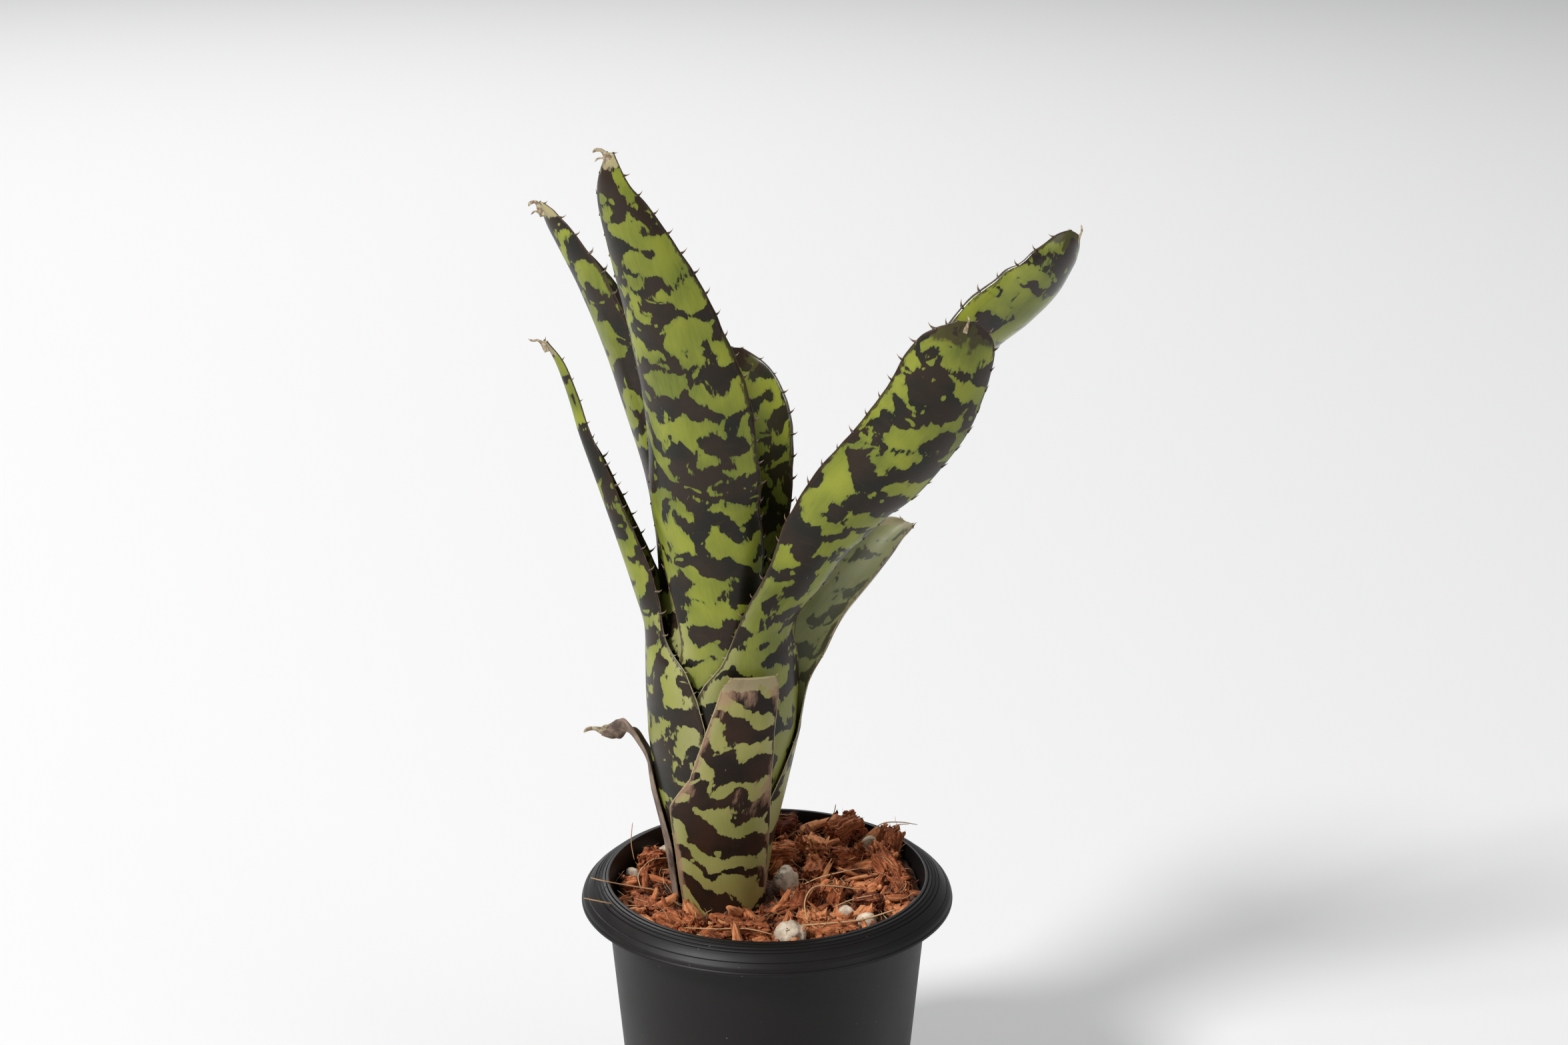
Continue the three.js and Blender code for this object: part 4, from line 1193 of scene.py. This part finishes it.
spin = scatter_tree.add("FunctionNodeRotateRotation", {"rotation_space": "LOCAL"},
                        Rotation=drop.outputs["Rotation"], Rotate_By=spin).outputs[0]
span_of = scatter_tree.random(scatter_tree.given("Small"), scatter_tree.given("Large"), seed_in)
shapes = scatter_tree.add("GeometryNodeCollectionInfo", Collection=scatter_tree.given("Shapes"),
                          Separate_Children=True, Reset_Children=True).outputs[0]
laid = scatter_tree.add("GeometryNodeInstanceOnPoints", Points=lifted, Instance=shapes,
                        Pick_Instance=True, Rotation=spin, Scale=span_of).outputs[0]
tinted = scatter_tree.add("GeometryNodeStoreNamedAttribute",
                          {"data_type": "FLOAT", "domain": "INSTANCE"}, Geometry=laid,
                          Name="tint", Value=scatter_tree.random(0.0, 1.0, seed_in)).outputs[0]
scatter_tree.finish(tinted, scatter_tree.given("Material"))
print("nodes in the scatter tree:", len(scatter_tree.tree.nodes))


# %% Shapes to scatter
def shape_box(name, objects):
    box = bpy.data.collections.new(name)
    for obj in objects:
        bpy.context.scene.collection.objects.unlink(obj)
        box.objects.link(obj)
    return box


def shard(seed):
    """A torn shard about one millimetre long, in thirty-odd faces."""
    draw = random.Random(seed)
    long, wide, thick = 1.0, draw.uniform(0.30, 0.52), draw.uniform(0.16, 0.30)
    stations, sides = 5, 8
    ridge = [draw.uniform(0.82, 1.0) * (0.80 if k % 2 else 1.0) for k in range(sides)]
    points, grains = [], []
    for i in range(stations):
        t = i / (stations - 1)
        swell = (0.55, 0.90, 1.0, 0.86, 0.50)[i]
        torn = 0.15 if i in (0, stations - 1) else 0.03
        for k in range(sides):
            a = 2 * math.pi * (k + 0.2) / sides
            r = swell * ridge[k] * draw.uniform(0.86, 1.0)
            x = (t - 0.5) * long + draw.uniform(-torn, torn)
            y, z = 0.5 * wide * r * math.cos(a), 0.5 * thick * r * math.sin(a)
            points.append((x, y + 0.22 * (t - 0.5) ** 2, z + 0.12 * (t - 0.5) ** 2))
            grains.append((x * 7 + seed, y * 11, z * 11))
    faces = [tuple(reversed(range(sides))),
             tuple(range((stations - 1) * sides, stations * sides))]
    for i in range(stations - 1):
        for k in range(sides):
            n = (k + 1) % sides
            faces.append((i * sides + k, i * sides + n, (i + 1) * sides + n,
                          (i + 1) * sides + k))
    obj = mesh_object("shard_%d" % seed, points, faces)
    layer = obj.data.attributes.new("grain", "FLOAT_VECTOR", "POINT")
    layer.data.foreach_set("vector", [c for g in grains for c in g])
    return obj


def strand_mesh(name, path, radius, sides):
    """A round thread along a list of points, thinner at both ends."""
    points, faces, grains = [], [], []
    total = len(path)
    reference = Vector((0.31, 0.22, 0.92))
    for i, p in enumerate(path):
        way = (path[min(i + 1, total - 1)] - path[max(i - 1, 0)]).normalized()
        side = way.cross(reference).normalized()
        up = side.cross(way)
        r = radius * (0.35 + 0.65 * math.sin(math.pi * i / (total - 1)) ** 0.4)
        for k in range(sides):
            a = 2 * math.pi * k / sides
            points.append(p + side * (r * math.cos(a)) + up * (r * math.sin(a)))
            grains.append((i * 0.4, math.cos(a), math.sin(a)))
    for i in range(total - 1):
        for k in range(sides):
            n = (k + 1) % sides
            faces.append((i * sides + n, i * sides + k, (i + 1) * sides + k,
                          (i + 1) * sides + n))
    faces.append(tuple(range(sides)))
    faces.append(tuple(reversed(range((total - 1) * sides, total * sides))))
    obj = mesh_object(name, points, faces)
    layer = obj.data.attributes.new("grain", "FLOAT_VECTOR", "POINT")
    layer.data.foreach_set("vector", [c for g in grains for c in g])
    return obj


def bent_fibre(seed):
    """A hair about one millimetre long that wanders as it goes."""
    draw = random.Random(100 + seed)
    path, p = [], Vector((-0.5, 0, 0))
    heading, curl = draw.uniform(-0.4, 0.4), draw.uniform(-1.6, 1.6)
    for k in range(8):
        path.append(p.copy())
        heading += curl / 7 + draw.uniform(-0.18, 0.18)
        p += Vector((math.cos(heading), math.sin(heading), draw.uniform(-0.18, 0.20))) / 7
    return strand_mesh("fibre_%d" % seed, path, 0.014, sides=3)


shards = shape_box("shards", [shard(k) for k in range(5)])
hairs = shape_box("hairs", [bent_fibre(k) for k in range(6)])


# %% Scattering over the bed
def straw_material():
    sh = Shader("straw_fibre")
    grain = sh.attribute("grain", "Vector")
    tint = sh.attribute("tint")
    streak = sh.noise(sh.scaled(grain, (0.7, 1.0, 1.0)), 1.0, 3.0)
    colour = sh.mix(tint, (0.22, 0.085, 0.032, 1), (0.62, 0.40, 0.20, 1))
    colour = sh.mix(sh.math("MULTIPLY", sh.step(streak, 0.45, 0.65), 0.4), colour,
                    (0.30, 0.13, 0.055, 1))
    return sh.out(Base_Color=colour, Roughness=0.7)


TUBE_ROOM = 16.6  # the radius, in millimetres, that the leaf bases take up at the mix


def ground_for(wall_gap, tube_gap, name):
    """A copy of the bed's top with an attribute that says where things may lie."""
    obj = bpy.data.objects.new(name, bed.data.copy())
    bpy.context.scene.collection.objects.link(obj)
    wall = inner_radius(MIX_Z / MM)
    values = []
    for v in obj.data.vertices:
        x, y, z = v.co / MM
        away = math.hypot(x - PLANT.x / MM, y - PLANT.y / MM)
        free = z > MIX_Z / MM - 4 and math.hypot(x, y) < wall - wall_gap
        values.append(1.0 if free and away > TUBE_ROOM + tube_gap else 0.0)
    layer = obj.data.attributes.new("open", "FLOAT", "POINT")
    layer.data.foreach_set("value", values)
    return obj


def scatter(name, base, slot, **values):
    obj = scatter_tree.grow(base, **values)
    obj.name = name
    finish_piece(obj)
    return obj


straw = straw_material()
scatter("husk_shards", ground_for(4.6, 3.4, "ground_a"), "coir_light", Shapes=shards,
        Gap=4.2 * MM, Most=60000.0, Small=8.0 * MM, Large=14.0 * MM, Tilt=0.85, Lift=1.2 * MM,
        Seed=5, Material=husk_light)
scatter("husk_shards_dark", ground_for(3.6, 2.4, "ground_b"), "coir_dark", Shapes=shards,
        Gap=2.9 * MM, Most=90000.0, Small=4.5 * MM, Large=9.0 * MM, Tilt=0.8, Lift=0.5 * MM,
        Seed=9, Material=husk_dark)
scatter("husk_crumbs", ground_for(1.2, 0.5, "ground_c"), "coir_light", Shapes=shards,
        Gap=1.7 * MM, Most=300000.0, Small=1.5 * MM, Large=3.8 * MM, Tilt=1.2, Lift=0.1 * MM,
        Seed=14, Material=husk_dark)
scatter("husk_fibres", ground_for(4.0, 2.0, "ground_d"), "coir_light", Shapes=hairs,
        Gap=2.2 * MM, Most=140000.0, Small=4.0 * MM, Large=11.0 * MM, Tilt=0.5, Lift=1.7 * MM,
        Seed=21, Material=straw)

# %% Fibres on the chips
fuzz_mesh = bpy.data.meshes.new("chip_skins")
bm = bmesh.new()
for chip in chips:
    bm.from_mesh(chip.data)
bm.to_mesh(fuzz_mesh)
bm.free()
fuzz_base = bpy.data.objects.new("chip_skins", fuzz_mesh)
bpy.context.scene.collection.objects.link(fuzz_base)
layer = fuzz_mesh.attributes.new("open", "FLOAT", "POINT")
layer.data.foreach_set("value", [1.0 if v.co.z > MIX_Z + 0.5 * MM else 0.0
                                 for v in fuzz_mesh.vertices])
scatter("chip_fuzz", fuzz_base, "coir_light", Shapes=hairs, Gap=2.3 * MM, Most=200000.0,
        Small=2.5 * MM, Large=6.0 * MM, Tilt=0.35, Lift=0.15 * MM, Seed=33, Material=straw)
finish_piece(bed, ["potting_mix"])

# %% [markdown]
# A few long strands lie across the mix, and some reach over the rim. They are the ones that
# catch the eye, so each is given as a short list of points and smoothed by the same curve
# that shapes the leaves.

# %% Long strands
# x, y and height above the mix, in millimetres.
STRANDS = [
    (0.34, [(10, -30, 4.2), (20, -30, 5.0), (30, -27, 4.8), (41, -23, 6.5)]),
    (0.26, [(13, -27, 3.5), (12, -20, 7.5), (15, -13, 9.5), (22, -8, 7.5), (30, -4, 4.5)]),
    (0.22, [(-38, -14, 3.5), (-46, -19, 6.0), (-52, -24, 9.6), (-57.5, -26, 11.8)]),
    (0.20, [(-36, -4, 4.5), (-45, -5, 6.5), (-52, -9, 9.8), (-56.5, -9, 11.0)]),
    (0.16, [(-44, 20, 4.0), (-45, 21, 10.0), (-44.5, 21.5, 17.0)]),
    (0.18, [(32, 34, 6.0), (38, 35, 10.5), (44, 32, 12.5), (50, 31, 12.0)]),
    (0.16, [(38, 32, 7.0), (42, 30, 12.0), (47, 27, 14.0)]),
    (0.18, [(18, 42, 5.0), (22, 45, 9.5), (23, 46, 13.0)]),
    (0.20, [(30, 9, 6.0), (24, 3, 7.5), (17, 1, 6.5), (10, -3, 5.0)]),
    (0.18, [(40, -4, 3.5), (35, -10, 5.5), (28, -12, 5.0), (21, -16, 4.0)]),
    (0.20, [(-26, -30, 3.5), (-16, -33, 4.5), (-6, -33, 4.5), (2, -35, 3.5)]),
    (0.18, [(-30, 22, 4.0), (-38, 17, 5.5), (-42, 8, 4.5), (-41, -1, 4.0)]),
]


def smooth_path(stops, per_span=7):
    stops = [np.array(s, float) for s in stops]
    path = []
    for i in range(len(stops) - 1):
        a, b, c = stops[max(i - 1, 0)], stops[i], stops[i + 1]
        d = stops[min(i + 2, len(stops) - 1)]
        for k in range(per_span):
            path.append(curve_point(a, b, c, d, k / per_span))
    path.append(stops[-1])
    return [Vector(p) for p in path]


bm = bmesh.new()
for radius, stops in STRANDS:
    path = [(p + Vector((0, 0, MIX_Z / MM))) * MM for p in smooth_path(stops)]
    thread = strand_mesh("thread", path, radius * MM, sides=7)
    bm.from_mesh(thread.data)
    bpy.data.objects.remove(thread)
strand_data = bpy.data.meshes.new("long_strands")
bm.to_mesh(strand_data)
bm.free()
strands = bpy.data.objects.new("long_strands", strand_data)
bpy.context.scene.collection.objects.link(strands)
layer = strand_data.attributes.new("tint", "FLOAT", "POINT")
layer.data.foreach_set("value", [0.75] * len(strand_data.vertices))
strand_data.shade_smooth()
strand_data.materials.append(straw)
finish_piece(strands)

# %% [markdown]
# Where a blade ends, its last tissue has dried to a thin papery curl. Each one is a flat
# tapered ribbon swept along a few points that start inside the tip of its leaf.

# %% The dry curls at the tips
# Leaf, half width, and the points from the leaf's tip, in millimetres.
CURLS = [
    ("leaf_front_left", 1.15, [(0.6, 0, -4.5), (-0.4, -0.3, -1.4), (-1.9, -0.5, 0.6),
                               (-3.6, -0.6, 0.9), (-4.6, -0.5, 0.1)]),
    ("leaf_front_left", 0.50, [(0.4, 0, -3.2), (-1.4, -0.3, -1.6), (-3.2, -0.3, -1.7),
                               (-4.0, -0.2, -2.6)]),
    ("leaf_left_back", 1.05, [(0.8, 0, -4.0), (-0.2, -0.3, -1.2), (-1.4, -0.5, 0.5),
                              (-3.0, -0.6, 0.2), (-3.6, -0.5, -0.8)]),
    ("leaf_left_back", 0.45, [(0.4, 0, -3.2), (-1.6, -0.3, -2.4), (-2.9, -0.2, -3.4)]),
    ("leaf_left", 0.75, [(0.8, 0, -3.0), (-0.3, -0.2, -0.6), (-1.8, -0.3, 0.7),
                         (-3.4, -0.4, 0.6), (-4.8, -0.4, 1.1)]),
    ("leaf_back", 0.60, [(0.2, 0, -2.6), (-0.8, -0.3, -0.5), (-2.2, -0.4, 0.3),
                         (-3.2, -0.4, -0.4)]),
    ("leaf_front_right", 0.55, [(-0.4, 0, -3.4), (0.2, -0.2, -1.2), (0.7, -0.3, 0.6),
                                (0.3, -0.3, 1.9)]),
    ("leaf_right", 0.55, [(-0.8, 0, -3.4), (0.1, -0.2, -1.0), (0.9, -0.3, 1.2),
                          (0.7, -0.3, 3.0)]),
    ("leaf_dried", 1.50, [(2.4, 0, 0.6), (0.4, -0.2, 0.2), (-1.8, -0.4, 0.9),
                          (-4.0, -0.5, 0.8), (-5.6, -0.4, -0.4)]),
]


def ribbon(stops, half, sides=10):
    path = smooth_path(stops, 5)
    points, faces = [], []
    for i, p in enumerate(path):
        ahead = (path[min(i + 1, len(path) - 1)] - path[max(i - 1, 0)]).normalized()
        across = ahead.cross(Vector((0.25, 1.0, 0.1))).normalized()
        thin = ahead.cross(across)
        t = i / (len(path) - 1)
        wide = half * (1 - t) ** 0.7 * (1 + 0.25 * math.sin(9 * t)) + 0.08
        for k in range(sides):
            a = math.tau * k / sides
            points.append((p + across * wide * math.cos(a) + thin * 0.16 * math.sin(a)) * MM)
    for i in range(len(path) - 1):
        for k in range(sides):
            n = (k + 1) % sides
            faces.append((i * sides + k, i * sides + n, (i + 1) * sides + n, (i + 1) * sides + k))
    faces.append(tuple(reversed(range(sides))))
    faces.append(tuple(range(len(points) - sides, len(points))))
    return points, faces


curl_points, curl_faces = [], []
for leaf, half, stops in CURLS:
    end = Vector(leaf_rows(LEAVES[leaf])[-1][0][:3])
    at = end + Vector((PLANT.x, PLANT.y, MIX_Z)) / MM
    points, faces = ribbon([tuple(at + Vector(s)) for s in stops], half)
    curl_faces += [tuple(v + len(curl_points) for v in f) for f in faces]
    curl_points += points
curls = mesh_object("dry_tips", curl_points, curl_faces)
bm = bmesh.new()
bm.from_mesh(curls.data)
bmesh.ops.recalc_face_normals(bm, faces=bm.faces)
bm.to_mesh(curls.data)
bm.free()
sh = Shader("papery_tip")
place = sh.add("ShaderNodeTexCoord").outputs["Object"]
stain = sh.noise(place, 900.0, 3.0, 0.6)
paper = sh.mix(sh.step(stain, 0.40, 0.62), (0.20, 0.13, 0.075, 1), (0.50, 0.43, 0.28, 1))
sh.out(Base_Color=paper, Roughness=0.65, Normal=sh.bump(stain, 0.5, 0.0003))
curls.data.materials.append(sh.material)
finish_piece(curls)
print("dry curls:", len(CURLS))

# %% Clearing the shapes that were only scattered
for box in (shards, hairs):
    for obj in list(box.objects):
        bpy.data.objects.remove(obj)
    bpy.data.collections.remove(box)

# %% [markdown]
# The stem hides inside the leaf bases. Its solid is right as it stands, so it stays and only
# takes a finish: brown, scarred by rings where old leaves were.

# %% The stem
sh = Shader("stem_bark")
place = sh.add("ShaderNodeTexCoord").outputs["Object"]
rings = sh.noise(sh.scaled(place, (60.0, 60.0, 700.0)), 1.0, 4.0, 0.6)
bark = sh.mix(sh.step(rings, 0.4, 0.6), (0.060, 0.034, 0.018, 1), (0.170, 0.105, 0.055, 1))
sh.out(Base_Color=bark, Roughness=0.85, Normal=sh.bump(rings, 0.7, 0.0008))
stem = frame["nodes"]["stem"]
if not stem.material_slots:
    stem.data.materials.append(sh.material)
for slot in stem.material_slots:
    slot.material = sh.material

# %% [markdown]
# ## Floor and light
# A pale floor, one large soft key from the upper left front, a weak fill from the right, and a
# rim light from behind that lifts the leaf edges.

# %% Floor
floor_mesh = bpy.data.meshes.new("floor")
bm = bmesh.new()
bmesh.ops.create_grid(bm, x_segments=1, y_segments=1, size=6.0)
bm.to_mesh(floor_mesh)
bm.free()
floor = bpy.data.objects.new("floor", floor_mesh)
floor.location = (0, 0, pot_low.z)
bpy.context.scene.collection.objects.link(floor)
sh = Shader("floor_paper")
floor_mesh.materials.append(sh.out(Base_Color=(0.66, 0.66, 0.655, 1), Roughness=0.85))


# %% Lights
def area_light(name, place, size, power, aim=(0, 0, 0.2)):
    data = bpy.data.lights.new(name, "AREA")
    data.shape = "DISK"
    data.size = size
    data.energy = power
    light = bpy.data.objects.new(name, data)
    light.location = place
    light.rotation_euler = (Vector(aim) - Vector(place)).to_track_quat("-Z", "Y").to_euler()
    bpy.context.scene.collection.objects.link(light)


area_light("key", (-2.0, -1.7, 2.5), 0.8, 128)
area_light("fill", (2.6, -1.8, 1.6), 2.2, 16)
area_light("back", (-0.9, 2.6, 2.8), 2.0, 90)
world = bpy.data.worlds.new("studio")
world.use_nodes = True
world.node_tree.nodes["Background"].inputs["Color"].default_value = (0.92, 0.94, 0.96, 1)
world.node_tree.nodes["Background"].inputs["Strength"].default_value = 0.30
bpy.context.scene.world = world
bpy.context.scene.view_settings.view_transform = "Standard"
print("lights:", len(bpy.data.lights))
